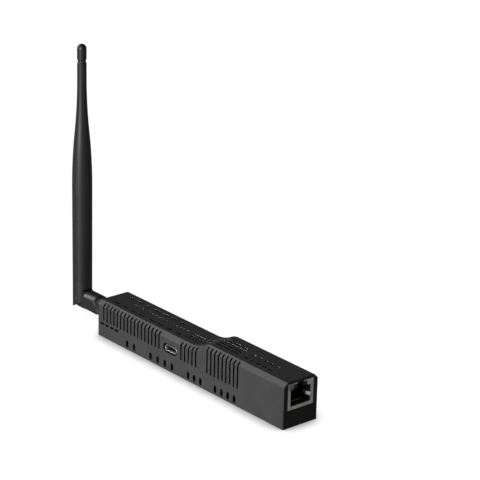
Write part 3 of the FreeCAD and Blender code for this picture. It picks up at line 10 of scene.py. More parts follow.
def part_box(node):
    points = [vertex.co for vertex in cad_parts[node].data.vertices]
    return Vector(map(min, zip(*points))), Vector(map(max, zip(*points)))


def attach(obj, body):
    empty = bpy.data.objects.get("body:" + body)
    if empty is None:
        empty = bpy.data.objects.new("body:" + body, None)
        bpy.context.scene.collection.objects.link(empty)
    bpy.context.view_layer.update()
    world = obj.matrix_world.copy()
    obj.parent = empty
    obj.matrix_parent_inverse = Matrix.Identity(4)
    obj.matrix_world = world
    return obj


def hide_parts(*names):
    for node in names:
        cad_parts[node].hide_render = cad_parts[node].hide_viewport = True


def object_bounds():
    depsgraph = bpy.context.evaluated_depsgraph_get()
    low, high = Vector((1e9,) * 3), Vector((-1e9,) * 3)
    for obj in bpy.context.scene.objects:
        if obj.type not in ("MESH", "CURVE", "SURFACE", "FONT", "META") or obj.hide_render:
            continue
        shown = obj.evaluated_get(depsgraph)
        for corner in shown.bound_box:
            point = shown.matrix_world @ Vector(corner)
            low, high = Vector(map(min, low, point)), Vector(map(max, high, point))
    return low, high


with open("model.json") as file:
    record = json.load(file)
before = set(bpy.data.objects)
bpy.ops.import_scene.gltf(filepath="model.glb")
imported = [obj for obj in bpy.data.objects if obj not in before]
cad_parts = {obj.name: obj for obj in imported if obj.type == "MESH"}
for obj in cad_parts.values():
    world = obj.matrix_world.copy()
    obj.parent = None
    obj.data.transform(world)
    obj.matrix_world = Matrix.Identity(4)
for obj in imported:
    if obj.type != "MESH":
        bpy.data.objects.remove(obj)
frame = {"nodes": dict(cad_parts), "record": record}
cad_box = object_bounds()
nodes = frame["nodes"]
scene = bpy.context.scene

MM = 0.001
PHOTO_WIDTH = 480
# Height just under the top faces; vent rims above it get painted glints.
ROOF = 18.9 * MM


# Materials: wires and finishes

class Wire:
    """A node's output in a finish. Arithmetic on wires adds Math nodes to that finish."""

    def __init__(self, finish, socket):
        self.finish = finish
        self.socket = socket

    def math(self, operation, *terms):
        return self.finish.add("ShaderNodeMath", {"operation": operation}, dict(enumerate(terms)))

    def __add__(self, other):
        return self.math("ADD", self, other)

    __radd__ = __add__

    def __sub__(self, other):
        return self.math("SUBTRACT", self, other)

    def __rsub__(self, other):
        return self.math("SUBTRACT", other, self)

    def __mul__(self, other):
        return self.math("MULTIPLY", self, other)

    __rmul__ = __mul__

    def __truediv__(self, other):
        return self.math("DIVIDE", self, other)

    def __pow__(self, other):
        return self.math("POWER", self, other)

    def __mod__(self, other):
        return self.math("FLOORED_MODULO", self, other)

    def __gt__(self, other):
        return self.math("GREATER_THAN", self, other)

    def __lt__(self, other):
        return self.math("LESS_THAN", self, other)

    def __abs__(self):
        return self.math("ABSOLUTE", self)

    def ramp(self, low, high, start=0.0, end=1.0):
        """Rises smoothly from start to end while this value goes from low to high."""
        return self.finish.add("ShaderNodeMapRange", {"interpolation_type": "SMOOTHSTEP"},
                               {"Value": self, "From Min": low, "From Max": high, "To Min": start, "To Max": end})


class Finish:
    """One material. add makes any node, and the other methods are the ones that most finishes share."""

    def __init__(self, name, **constants):
        self.material = bpy.data.materials.new(name)
        self.material.use_nodes = True
        self.tree = self.material.node_tree
        self.surface = self.tree.nodes["Principled BSDF"]
        for socket, value in constants.items():
            self.surface.inputs[socket.replace("_", " ")].default_value = value

    def add(self, kind, settings=None, inputs=None, output=0):
        node = self.tree.nodes.new(kind)
        for name, value in (settings or {}).items():
            if name == "stops":
                self.set_stops(node.color_ramp, value)
            else:
                setattr(node, name, value)
        for name, value in (inputs or {}).items():
            self.fill(node.inputs[name], value)
        return Wire(self, node.outputs[output])

    def set_stops(self, ramp, stops):
        while len(ramp.elements) < len(stops):
            ramp.elements.new(1.0)
        for element, (place, colour) in zip(ramp.elements, stops):
            element.position = place
            element.color = (*colour, 1.0)

    def fill(self, socket, value):
        if isinstance(value, Wire):
            self.tree.links.new(value.socket, socket)
        elif isinstance(value, tuple) and len(value) == 3 and len(socket.default_value) == 4:
            socket.default_value = (*value, 1.0)
        else:
            socket.default_value = value

    def paint(self, **inputs):
        for name, value in inputs.items():
            self.fill(self.surface.inputs[name.replace("_", " ")], value)

    def point(self, stretch=None, turn=None):
        """Place on the piece, in metres. stretch scales the pattern along each axis."""
        place = self.add("ShaderNodeTexCoord", output="Object")
        if stretch is None and turn is None:
            return place
        inputs = {"Vector": place}
        if stretch is not None:
            inputs["Scale"] = stretch
        if turn is not None:
            inputs["Rotation"] = turn
        return self.add("ShaderNodeMapping", None, inputs)

    def axes(self, point=None):
        """The x, y and z of a place, in metres."""
        point = point or self.point()
        split = self.add("ShaderNodeSeparateXYZ", None, {"Vector": point}).socket.node
        return [Wire(self, socket) for socket in split.outputs]

    def noise(self, grain, detail=2.0, rough=0.5, point=None):
        """Cloudy pattern from 0 to 1 with grains of that many millimetres."""
        return self.add("ShaderNodeTexNoise", None,
                        {"Vector": point or self.point(), "Scale": 1 / (grain * MM), "Detail": detail,
                         "Roughness": rough})

    def cells(self, grain, feature="F1", point=None, output="Distance"):
        """Distance to scattered cells of that many millimetres."""
        return self.add("ShaderNodeTexVoronoi", {"feature": feature},
                        {"Vector": point or self.point(), "Scale": 1 / (grain * MM)}, output=output)

    def mix(self, share, first, second):
        return self.add("ShaderNodeMix", {"data_type": "RGBA"}, {0: share, 6: first, 7: second}, output=2)

    def bump(self, height, depth, strength=1.0, under=None):
        """Normal of a relief that is depth millimetres high where height is 1."""
        inputs = {"Height": height, "Distance": depth * MM, "Strength": strength}
        if under is not None:
            inputs["Normal"] = under
        return self.add("ShaderNodeBump", None, inputs)

    def openness(self, reach, alone=False):
        """1 in the open and 0 in a closed gap, judged within that many millimetres and by this piece alone or all."""
        return self.add("ShaderNodeAmbientOcclusion", {"samples": 8, "only_local": alone},
                        {"Distance": reach * MM}, output="AO")

    def crevice_shade(self, reach, open_from=0.62, closed_at=0.36):
        """1 deep in slots and gaps that little light reaches. Finishes mix their colour towards near-black by it, as
        painted shade.
        """
        return self.openness(reach).ramp(open_from, closed_at)

    def soft_edge(self, radius):
        """Normal with the edges rounded by that many millimetres, and a mask that is 1 along them."""
        rounded = self.add("ShaderNodeBevel", {"samples": 6}, {"Radius": radius * MM})
        plain = self.add("ShaderNodeNewGeometry", output="Normal")
        along = self.add("ShaderNodeVectorMath", {"operation": "DOT_PRODUCT"}, {0: rounded, 1: plain}, output=1)
        return rounded, along.ramp(0.995, 0.9)


# Finishes of the product

def moulded_black(name, colour, worn, gloss, grain, depth):
    """Black moulded plastic with a spark-eroded grain, edges rubbed a little smoother and lighter, slots painted
    near-black as painted shade, and painted glints on the rims of the top's back vents.
    """
    finish = Finish(name, Specular_IOR_Level=gloss)
    normal, edge = finish.soft_edge(0.25)
    cloud = finish.noise(9.0, detail=3.0)
    pits = finish.noise(grain, detail=3.0, rough=0.6)
    fine = finish.noise(grain * 0.45, detail=2.0)
    rub = finish.noise(3.5, detail=4.0, rough=0.7).ramp(0.45, 0.7)
    openness = finish.openness(3.0, alone=True)
    x, y, z = finish.axes()
    # Painted glints: pale specks painted on the vent rims of the top's back rows, above ROOF and behind y = -1.5 mm,
    # stand in for light caught there.
    painted_glint = edge * openness.ramp(0.99, 0.94) * finish.noise(0.9, detail=1.0).ramp(0.44, 0.5)
    painted_glint = painted_glint * (z > ROOF) * (y > -1.5 * MM)
    wear = edge * (rub * 0.6 + 0.4)
    tone = finish.mix(cloud.ramp(0.3, 0.7), colour, tuple(c * 1.15 for c in colour))
    speckled = finish.mix(pits.ramp(0.62, 0.72) * 0.5, tone, tuple(c * 1.9 for c in colour))
    # Painted shade: the colour goes near-black deep in the slots, where little light reaches.
    shaded = finish.mix(openness.ramp(0.84, 0.6), finish.mix(wear, speckled, worn), (0.001, 0.001, 0.001))
    finish.paint(Base_Color=finish.mix(painted_glint, shaded, (0.7, 0.7, 0.7)),
                 Roughness=0.5 + (cloud - 0.5) * 0.1 + (pits - 0.5) * 0.16 - wear * 0.12,
                 Normal=finish.bump(pits * 0.7 + fine * 0.3, depth, under=normal))
    return finish


def housing_finish():
    return moulded_black("housing_black", (0.036, 0.036, 0.037), (0.07, 0.07, 0.072), 0.1, 0.32, 0.03)


def antenna_finish():
    """Satin black rubber-like plastic with the fine line where the two halves of its mould met."""
    finish = Finish("antenna_black", Specular_IOR_Level=0.22)
    normal, edge = finish.soft_edge(0.2)
    x, y, z = finish.axes()
    line = abs(y).ramp(0.13 * MM, 0.05 * MM)
    cloud = finish.noise(7.0, detail=4.0)
    pores = finish.noise(0.25, detail=3.0, rough=0.6)
    rub = finish.noise(5.0, detail=5.0, rough=0.7, point=finish.point(stretch=(1.0, 1.0, 0.25))).ramp(0.5, 0.75)
    rubbed = finish.mix(edge * 0.6 + rub * 0.12, (0.014, 0.014, 0.0145), (0.04, 0.04, 0.042))
    # Painted shade: near-black deep in gaps.
    finish.paint(Base_Color=finish.mix(finish.crevice_shade(3.0), rubbed, (0.001, 0.001, 0.001)),
                 Roughness=0.4 + (cloud - 0.5) * 0.12 + (pores - 0.5) * 0.1 + rub * 0.06,
                 Normal=finish.bump(line + pores * 0.25, 0.03, under=normal))
    return finish


def insert_finish():
    """Glass-filled black plastic of the socket bodies."""
    finish = Finish("insert_black", Specular_IOR_Level=0.25)
    normal, edge = finish.soft_edge(0.12)
    fibres = finish.noise(0.35, detail=3.0, point=finish.point(stretch=(0.35, 1.0, 1.0)))
    flow = finish.noise(4.0, detail=3.0)
    shot = finish.mix(fibres.ramp(0.55, 0.75) * 0.7 + edge * 0.3, (0.012, 0.012, 0.013), (0.04, 0.04, 0.042))
    # Painted shade: near-black deep in gaps.
    finish.paint(Base_Color=finish.mix(finish.crevice_shade(2.5), shot, (0.001, 0.001, 0.001)),
                 Roughness=0.4 + (flow - 0.5) * 0.15 + (fibres - 0.5) * 0.1,
                 Normal=finish.bump(fibres, 0.012, under=normal))
    return finish


def plated_steel(name, colour, dull, roughness, stretch, scratch_depth=0.004):
    """Rolled and plated sheet: drawn lines along the roll, cloudy tarnish and bright rubbed edges."""
    finish = Finish(name, Metallic=1.0)
    normal, edge = finish.soft_edge(0.1)
    drawn = finish.noise(0.5, detail=4.0, rough=0.7, point=finish.point(stretch=stretch))
    cloud = finish.noise(2.5, detail=4.0, rough=0.6)
    spots = finish.noise(0.6, detail=3.0).ramp(0.62, 0.75)
    tarnish = cloud.ramp(0.45, 0.75) * 0.5 + spots * 0.25
    aged = finish.mix(tarnish * (1 - edge * 0.8), colour, dull)
    # Painted shade: darker deep in gaps and folds of the sheet.
    finish.paint(Base_Color=finish.mix(finish.crevice_shade(3.0), aged, (0.02, 0.02, 0.02)),
                 Roughness=roughness + (drawn - 0.5) * 0.18 + tarnish * 0.12 - edge * 0.06,
                 Normal=finish.bump(drawn, scratch_depth, under=normal))
    return finish


def gold_finish():
    finish = Finish("gold", Metallic=1.0)
    normal, edge = finish.soft_edge(0.06)
    rolled = finish.noise(0.25, detail=4.0, rough=0.7, point=finish.point(stretch=(0.15, 1.0, 1.0)))
    cloud = finish.noise(1.6, detail=3.0)
    finish.paint(Base_Color=finish.mix(cloud.ramp(0.4, 0.7), (0.86, 0.62, 0.24), (0.7, 0.47, 0.18)),
                 Roughness=0.24 + (rolled - 0.5) * 0.16 + (cloud - 0.5) * 0.1 - edge * 0.05,
                 Normal=finish.bump(rolled, 0.004, under=normal))
    return finish


def turned_nickel():
    """Black nickel on turned brass: rings left by the tool, brighter where fingers rub it."""
    finish = Finish("dark_nickel", Metallic=1.0)
    normal, edge = finish.soft_edge(0.12)
    x, y, z = finish.axes()
    rings = finish.noise(0.12, detail=2.0, point=finish.point(stretch=(1.0, 0.04, 0.04)))
    cloud = finish.noise(1.8, detail=4.0, rough=0.6)
    rubbed = edge * cloud.ramp(0.35, 0.65)
    finish.paint(Base_Color=finish.mix(rubbed * 0.6 + cloud.ramp(0.5, 0.8) * 0.15, (0.022, 0.022, 0.024),
                                       (0.04, 0.039, 0.038)),
                 Roughness=0.52 + (rings - 0.5) * 0.2 + (cloud - 0.5) * 0.12 - rubbed * 0.1,
                 Normal=finish.bump(rings, 0.006, under=normal))
    return finish


def board_finish():
    """Green solder mask over copper tracks, with gilt rings round the plated holes."""
    finish = Finish("board_green", Specular_IOR_Level=0.5, Coat_Roughness=0.2)
    x, y, z = finish.axes()
    bends = (finish.noise(5.0, detail=0.0) - 0.5) * (3.0 * MM)
    lane = ((y + bends) / (0.9 * MM)) % 1.0
    broken = finish.noise(6.0, detail=1.0).ramp(0.48, 0.5)
    track = abs(lane - 0.5).ramp(0.22, 0.16) * broken
    holes = finish.cells(2.4)
    ring = (holes < 0.16) * (holes > 0.08)
    bore = holes < 0.08
    weave = finish.noise(0.5, detail=2.0)
    mask = finish.mix(track, (0.006, 0.06, 0.026), (0.012, 0.12, 0.05))
    ringed = finish.mix(ring, mask, (0.75, 0.55, 0.22))
    # Painted shade: each via's hole is painted near-black; the board has no real hole there.
    finish.paint(Base_Color=finish.mix(bore, ringed, (0.01, 0.01, 0.01)),
                 Metallic=ring * 0.9,
                 Roughness=0.34 + (weave - 0.5) * 0.2 - track * 0.05,
                 Coat_Weight=0.4 - ring * 0.4,
                 Normal=finish.bump(track * 0.7 + ring * 0.9 - bore + weave * 0.2, 0.03))
    return finish


def chip_finish():
    """Epoxy packages with a fine moulding grain."""
    finish = Finish("chip_black", Specular_IOR_Level=0.35)
    normal, edge = finish.soft_edge(0.08)
    grain = finish.noise(0.09, detail=3.0, rough=0.7)
    cloud = finish.noise(1.2, detail=3.0)
    finish.paint(Base_Color=finish.mix(cloud.ramp(0.3, 0.7) * 0.6 + edge * 0.4, (0.014, 0.014, 0.015),
                                       (0.034, 0.034, 0.035)),
                 Roughness=0.58 + (grain - 0.5) * 0.2 - edge * 0.1,
                 Normal=finish.bump(grain, 0.01, under=normal))
    return finish


def ferrite_finish():
    """Pressed and sintered ferrite: grey, sandy, with ground faces and small chipped pits."""
    finish = Finish("ferrite", Specular_IOR_Level=0.5)
    normal, edge = finish.soft_edge(0.12)
    sand = finish.noise(0.12, detail=4.0, rough=0.7)
    pits = finish.cells(0.9).ramp(0.16, 0.05)
    finish.paint(Base_Color=finish.mix(sand, (0.035, 0.034, 0.034), (0.085, 0.083, 0.08)),
                 Roughness=0.5 + (sand - 0.5) * 0.3 + pits * 0.2,
                 Metallic=0.25 + (sand - 0.5) * 0.2,
                 Normal=finish.bump(sand * 0.4 - pits + edge * 0.1, 0.03, under=normal))
    return finish


def capacitor_finish():
    """Drawn aluminium can with fine rings round its wall and a faint vent score in its top."""
    finish = Finish("capacitor_metal", Metallic=1.0)
    low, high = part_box("bulk_capacitor")
    middle = (low + high) / 2
    x, y, z = finish.axes()
    off_x = abs(x - middle.x)
    off_y = abs(y - middle.y)
    top = z > high.z - 0.3 * MM
    score = (off_x.ramp(0.16 * MM, 0.06 * MM) + off_y.ramp(0.16 * MM, 0.06 * MM)) * top
    rings = finish.noise(0.2, detail=3.0, point=finish.point(stretch=(0.05, 0.05, 1.0)))
    cloud = finish.noise(1.5, detail=3.0)
    finish.paint(Base_Color=finish.mix(cloud.ramp(0.4, 0.75), (0.78, 0.78, 0.79), (0.55, 0.55, 0.57)),
                 Roughness=0.28 + (rings - 0.5) * 0.2 + (cloud - 0.5) * 0.12,
                 Normal=finish.bump(rings * 0.15 - score, 0.08))
    return finish


def tape_finish():
    """Yellow polyester tape wound over the coil: overlapping turns, small air blisters, glossy film."""
    finish = Finish("tape_yellow", Specular_IOR_Level=0.5, Coat_Roughness=0.12)
    x, y, z = finish.axes()
    turns = (z / (2.2 * MM)) % 1.0
    lap = turns.ramp(0.02, 0.1)
    blister = finish.cells(1.3).ramp(0.35, 0.15)
    cloud = finish.noise(1.8, detail=4.0)
    finish.paint(Base_Color=finish.mix(cloud.ramp(0.35, 0.7) * 0.7 + (1 - lap) * 0.3, (0.72, 0.5, 0.05),
                                       (0.45, 0.27, 0.03)),
                 Roughness=0.3 + (cloud - 0.5) * 0.2,
                 Coat_Weight=0.5 + (cloud - 0.5) * 0.4,
                 Normal=finish.bump(lap * 0.6 + blister * 0.3, 0.05))
    return finish


def ceramic_finish():
    finish = Finish("ceramic_tan", Specular_IOR_Level=0.5)
    normal, edge = finish.soft_edge(0.06)
    layers = finish.noise(0.2, detail=3.0, point=finish.point(stretch=(0.2, 0.2, 1.0)))
    grain = finish.noise(0.08, detail=2.0)
    finish.paint(Base_Color=finish.mix(layers, (0.36, 0.23, 0.13), (0.5, 0.35, 0.21)),
                 Roughness=0.42 + (grain - 0.5) * 0.2 - edge * 0.08,
                 Normal=finish.bump(grain, 0.01, under=normal))
    return finish


def white_finish():
    """White insulating plastic: fluoropolymer in the connectors, silicone lens on the lamps."""
    finish = Finish("white_plastic", Specular_IOR_Level=0.4)
    normal, edge = finish.soft_edge(0.06)
    cloud = finish.noise(0.8, detail=4.0)
    turned = finish.noise(0.1, detail=2.0, point=finish.point(stretch=(1.0, 0.1, 0.1)))
    finish.paint(Base_Color=finish.mix(cloud.ramp(0.3, 0.7), (0.72, 0.71, 0.68), (0.8, 0.79, 0.76)),
                 Roughness=0.4 + (turned - 0.5) * 0.15 + (cloud - 0.5) * 0.1,
                 Normal=finish.bump(turned, 0.006, under=normal))
    return finish


def window_finish(name, tint, clearness, painted_glow):
    """Light pipe of the network jack: clear plastic with a frosted, ribbed front and a faint painted glow, though no
    lamp lights it.
    """
    finish = Finish(name, Transmission_Weight=clearness, IOR=1.49, Emission_Strength=1.0)
    normal, edge = finish.soft_edge(0.1)
    x, y, z = finish.axes()
    frost = finish.noise(0.12, detail=2.0)
    ribs = (z / (0.45 * MM)) % 1.0
    finish.paint(Base_Color=finish.mix(frost.ramp(0.3, 0.7) * 0.6 + edge * 0.4, tint, tuple(c * 0.85 for c in tint)),
                 # Painted glow: the emission makes the pipe shine faintly though no lamp lights it.
                 Emission_Color=finish.mix((0.7 + frost * 0.3) * (1 - edge), (0.0, 0.0, 0.0), painted_glow),
                 Roughness=0.3 + (frost - 0.5) * 0.2,
                 Normal=finish.bump(abs(ribs - 0.5) + frost * 0.3, 0.05, under=normal))
    return finish


def jacket_finish():
    """Smooth extruded jacket of the thin coax, with faint draw marks along it."""
    finish = Finish("coax_jacket", Specular_IOR_Level=0.45)
    cloud = finish.noise(1.5, detail=3.0)
    grain = finish.noise(0.15, detail=3.0)
    finish.paint(Base_Color=finish.mix(cloud.ramp(0.3, 0.7), (0.02, 0.02, 0.021), (0.04, 0.04, 0.042)),
                 Roughness=0.38 + (cloud - 0.5) * 0.16 + (grain - 0.5) * 0.1,
                 Normal=finish.bump(grain, 0.01))
    return finish


finishes = {
    "housing_black": housing_finish(),
    "antenna_black": antenna_finish(),
    "insert_black": insert_finish(),
    "board_green": board_finish(),
    "chip_black": chip_finish(),
    "shield_metal": plated_steel("shield_metal", (0.42, 0.42, 0.41), (0.24, 0.24, 0.23), 0.36, (0.12, 1.0, 1.0)),
    "socket_metal": plated_steel("socket_metal", (0.5, 0.5, 0.5), (0.36, 0.36, 0.36), 0.45, (1.0, 0.12, 1.0)),
    "gold": gold_finish(),
    "dark_nickel": turned_nickel(),
    "white_plastic": white_finish(),
    "window_clear": window_finish("window_clear", (0.9, 0.92, 0.91), 0.1, (0.07, 0.074, 0.072)),
    "ferrite": ferrite_finish(),
    "tape_yellow": tape_finish(),
    "capacitor_metal": capacitor_finish(),
    "ceramic_tan": ceramic_finish(),
    "coax_jacket": jacket_finish(),
    "pin_steel": plated_steel("pin_steel", (0.06, 0.06, 0.06), (0.03, 0.03, 0.03), 0.45, (1.0, 1.0, 0.2)),
}
finish_of = {part["node"]: part["material_slot"] for part in frame["record"]["subparts"]}
for name, node in nodes.items():
    node.material_slots[0].material = finishes[finish_of[name]].material
nodes["jack_window_front"].material_slots[0].material = window_finish(
    "window_smoke", (0.3, 0.31, 0.31), 0.3, (0.02, 0.02, 0.02)).material


# New pieces: shared steps

def fresh(name):
    """Takes the object that was just added, names it and leaves it alone selected in edit mode."""
    piece = bpy.context.active_object
    piece.name = name
    piece.data.name = name
    bpy.ops.object.mode_set(mode="EDIT")
    return piece


def start():
    if bpy.context.mode != "OBJECT":
        bpy.ops.object.mode_set(mode="OBJECT")
    bpy.ops.object.select_all(action="DESELECT")


def settle(piece, finish, body, smooth=30.0):
    """Ends the piece: outward faces, no doubles, its place in its mesh, its finish and its body."""
    bpy.ops.object.mode_set(mode="EDIT")
    bpy.ops.mesh.select_all(action="SELECT")
    bpy.ops.mesh.remove_doubles(threshold=0.001 * MM)
    bpy.ops.mesh.normals_make_consistent(inside=False)
    bpy.ops.object.mode_set(mode="OBJECT")
    bpy.ops.object.select_all(action="DESELECT")
    piece.select_set(True)
    bpy.context.view_layer.objects.active = piece
    bpy.ops.object.transform_apply(location=True, rotation=True, scale=True)
    bpy.ops.object.shade_smooth_by_angle(angle=math.radians(smooth))
    piece.data.materials.clear()
    piece.data.materials.append(finishes[finish].material)
    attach(piece, body)
    return piece


def pick(piece, wanted, kind="faces"):
    """Selects the faces, edges or vertices of the piece for which wanted is true, and no others."""
    bpy.ops.mesh.select_mode(type={"faces": "FACE", "edges": "EDGE", "vertices": "VERT"}[kind])
    bpy.ops.mesh.select_all(action="DESELECT")
    bpy.ops.object.mode_set(mode="OBJECT")
    mesh = piece.data
    parts = {"faces": mesh.polygons, "edges": mesh.edges, "vertices": mesh.vertices}[kind]
    for part in parts:
        part.select = bool(wanted(part))
    bpy.ops.object.mode_set(mode="EDIT")


# New pieces

def extrude(by):
    bpy.ops.mesh.extrude_region_move(TRANSFORM_OT_translate={"value": by})


def grow(about, value):
    bpy.ops.transform.resize(value=value, center_override=about)


def repeated(piece, moves):
    """Copies the piece to each place, every copy with its own mesh, and joins them into one."""
    start()
    copies = []
    for move in moves:
        copy = piece.copy()
        copy.data = piece.data.copy()
        scene.collection.objects.link(copy)
        copy.location = piece.location + Vector(move)
        copies.append(copy)
    name = piece.name
    bpy.data.objects.remove(piece)
    for copy in copies:
        copy.select_set(True)
    bpy.context.view_layer.objects.active = copies[0]
    bpy.ops.object.join()
    copies[0].name = name
    return copies[0]


def block(name, low, high):
    """Plain block between two corners, left in edit mode with all of it selected."""
    low, high = Vector(low), Vector(high)
    start()
    bpy.ops.mesh.primitive_cube_add(size=1.0, location=(low + high) / 2)
    piece = fresh(name)
    bpy.ops.mesh.select_all(action="SELECT")
    bpy.ops.transform.resize(value=high - low)
    return piece


def round_edges(width, steps=2):
    bpy.ops.mesh.bevel(offset=width, segments=steps, affect="EDGES", clamp_overlap=True)


def turn(name, centre, along, stations, sides=48):
    """Closed turned piece. Each station is a distance along the axis from the centre and a radius there."""
    centre, along = Vector(centre), Vector(along)
    start()
    place, radius = stations[0]
    bpy.ops.mesh.primitive_circle_add(vertices=sides, radius=radius, fill_type="NGON", location=centre + along * place,
                                      rotation=along.to_track_quat("Z", "Y").to_euler())
    piece = fresh(name)
    bpy.ops.mesh.select_all(action="SELECT")
    for new_place, new_radius in stations[1:]:
        extrude(along * (new_place - place))
        grow(centre + along * new_place, [1.0 if abs(part) > 0.5 else new_radius / radius for part in along])
        place, radius = new_place, new_radius
    return piece


def mm(*values):
    return Vector([value * MM for value in values])


KNURL_COLUMNS = 64
KNURL_DEPTH = 0.3 * MM
KNURL_PLAIN = 0.6 * MM


def knurled_nut():
    """Coupling nut with a diamond knurl between two plain rims."""
    low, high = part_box("coupling_nut")
    middle = (low + high) / 2
    radius = (high.y - low.y) / 2
    valley = radius - KNURL_DEPTH
    lip_radius = (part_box("elbow_stem")[1].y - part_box("elbow_stem")[0].y) / 2
    step = 2 * math.pi * radius / KNURL_COLUMNS
    rows = round((high.x - low.x - KNURL_PLAIN * 2) / step)
    step = (high.x - low.x - KNURL_PLAIN * 2) / rows
    start()
    bpy.ops.mesh.primitive_circle_add(vertices=KNURL_COLUMNS, radius=valley, location=(low.x, middle.y, middle.z),
                                      rotation=(math.pi / 2, 0, math.pi / 2))
    nut = fresh("knurled_nut")
    bpy.ops.mesh.select_all(action="SELECT")
    grow((low.x, middle.y, middle.z), (1, 0.94, 0.94))
    extrude((KNURL_PLAIN / 2, 0, 0))
    grow(middle, (1, 1.1, 1.1))
    extrude((KNURL_PLAIN / 2, 0, 0))
    grow(middle, (1, 1 / (0.94 * 1.1), 1 / (0.94 * 1.1)))
    for row in range(rows):
        extrude((step, 0, 0))
    extrude((KNURL_PLAIN / 2, 0, 0))
    grow(middle, (1, 0.94 * 1.1, 0.94 * 1.1))
    extrude((KNURL_PLAIN / 2, 0, 0))
    grow(middle, (1, 1 / 1.1, 1 / 1.1))
    first, last = low.x + KNURL_PLAIN, high.x - KNURL_PLAIN
    slack = step * 0.1
    pick(nut, lambda face: first < (nut.matrix_world @ face.center).x < last)
    bpy.ops.mesh.poke(offset=0)

    def is_peak(vertex):
        place = nut.matrix_world @ vertex.co
        if not first + slack < place.x < last - slack:
            return False
        row = (place.x - first) / step
        column = math.atan2(place.z - middle.z, place.y - middle.y) / (2 * math.pi / KNURL_COLUMNS)
        whole = abs(row - round(row)) < 0.2 and abs(column - round(column)) < 0.2
        return whole and (round(row) + round(column)) % 2 == 1

    pick(nut, is_peak, kind="vertices")
    grow(middle, (1, radius / valley, radius / valley))
    for end, inner in ((low.x, lip_radius), (high.x, valley * 0.64)):
        pick(nut, lambda edge: all(abs((nut.matrix_world @ nut.data.vertices[i].co).x - end) < slack
                                   for i in edge.vertices), kind="edges")
        bpy.ops.mesh.extrude_region_move()
        grow((end, middle.y, middle.z), (1, inner / (valley * 0.94), inner / (valley * 0.94)))
        extrude((math.copysign(KNURL_PLAIN, middle.x - end), 0, 0))
    settle(nut, "dark_nickel", "housing")
    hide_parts("coupling_nut")


SPRING_COUNT = 8
SPRING_PITCH = 1.02 * MM
SPRING_THICKNESS = 0.24 * MM
SPRING_BEND = 0.34 * MM


def jack_springs():
    """Eight gilt springs of the network jack: they rise from the floor's comb towards the back."""
    low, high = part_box("jack_contacts")
    width = high.y - low.y - SPRING_PITCH * (SPRING_COUNT - 1)
    front = Vector((high.x - SPRING_BEND * 2, low.y + width / 2, low.z + SPRING_BEND * 2))
    back = Vector((low.x, front.y, high.z - SPRING_THICKNESS))
    run = front - back
    slope = math.atan2(-run.z, run.x)
    start()
    bpy.ops.mesh.primitive_plane_add(size=1.0, location=back, rotation=(0, math.pi / 2 + slope, 0))
    spring = fresh("jack_springs")
    bpy.ops.mesh.select_all(action="SELECT")
    bpy.ops.transform.resize(value=(SPRING_THICKNESS, width, SPRING_THICKNESS))
    extrude(run)
    centre = front - Vector((math.sin(slope), 0, math.cos(slope))) * SPRING_BEND
    bpy.ops.mesh.spin(steps=8, angle=math.pi - slope, center=centre, axis=(0, 1, 0))
    extrude((-3.0 * MM, 0, 0))
    bpy.ops.object.mode_set(mode="OBJECT")
    bevel = spring.modifiers.new("rounded", "BEVEL")
    bevel.width = 0.05 * MM
    bevel.segments = 2
    bevel.limit_method = "ANGLE"
    bpy.context.view_layer.objects.active = spring
    bpy.ops.object.modifier_apply(modifier="rounded")
    springs = repeated(spring, [(0, SPRING_PITCH * index, 0) for index in range(SPRING_COUNT)])
    settle(springs, "gold", "housing")
    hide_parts("jack_contacts")


def usb_shell():
    """Deep-drawn shell of the USB socket: a rounded oblong tube with a rolled mouth."""
    low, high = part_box("usb_shell")
    middle = (low + high) / 2
    radius = (high.z - low.z) / 2
    half_run = (high.x - low.x) / 2 - radius
    start()
    bpy.ops.mesh.primitive_circle_add(vertices=40, radius=radius, location=(middle.x, low.y, middle.z),
                                      rotation=(math.pi / 2, 0, 0))
    shell = fresh("usb_shell_drawn")
    for side in (-1, 1):
        pick(shell, lambda vertex: vertex.co.x * side > radius * 0.01, kind="vertices")
        bpy.ops.transform.translate(value=(half_run * side, 0, 0))
    bpy.ops.mesh.select_all(action="SELECT")
    extrude((0, high.y - low.y, 0))
    bpy.ops.object.mode_set(mode="OBJECT")
    wall = shell.modifiers.new("sheet", "SOLIDIFY")
    wall.thickness = 0.25 * MM
    wall.offset = -1.0
    rolled = shell.modifiers.new("rolled", "BEVEL")
    rolled.width = 0.1 * MM
    rolled.segments = 4
    rolled.limit_method = "ANGLE"
    rolled.angle_limit = math.radians(50)
    bpy.context.view_layer.objects.active = shell
    bpy.ops.object.modifier_apply(modifier="sheet")
    bpy.ops.object.modifier_apply(modifier="rolled")
    settle(shell, "socket_metal", "housing", smooth=40.0)
    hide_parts("usb_shell")


CAN_CORNER = 0.9
CAN_RISE = [(-0.25, 0.0), (-0.1, 0.04), (-0.03, 0.12), (0.0, 0.25), (0.0, 1.1), (-0.05, 1.16), (-0.14, 1.28)]


def pressed_can(node, name):
    """Drawn shield can: rounded corners, a soft edge all round and a pressed-in panel on top."""
    low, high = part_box(node)
    size = high - low
    middle = (low + high) / 2
    start()
    bpy.ops.mesh.primitive_plane_add(size=1.0, location=(middle.x, middle.y, low.z))
    can = fresh(name)
    bpy.ops.mesh.select_all(action="SELECT")
    bpy.ops.transform.resize(value=(size.x, size.y, 1))
    bpy.ops.mesh.bevel(offset=CAN_CORNER * MM, segments=6, affect="VERTICES")
    height, inset = low.z, 0.0
    for fall, new_inset in CAN_RISE:
        new_height = high.z + fall * MM
        extrude((0, 0, new_height - height))
        grow(middle, [(length - new_inset * 2 * MM) / (length - inset * 2 * MM) for length in (size.x, size.y)] + [1])
        height, inset = new_height, new_inset
    settle(can, "shield_metal", "housing")
    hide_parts(node)


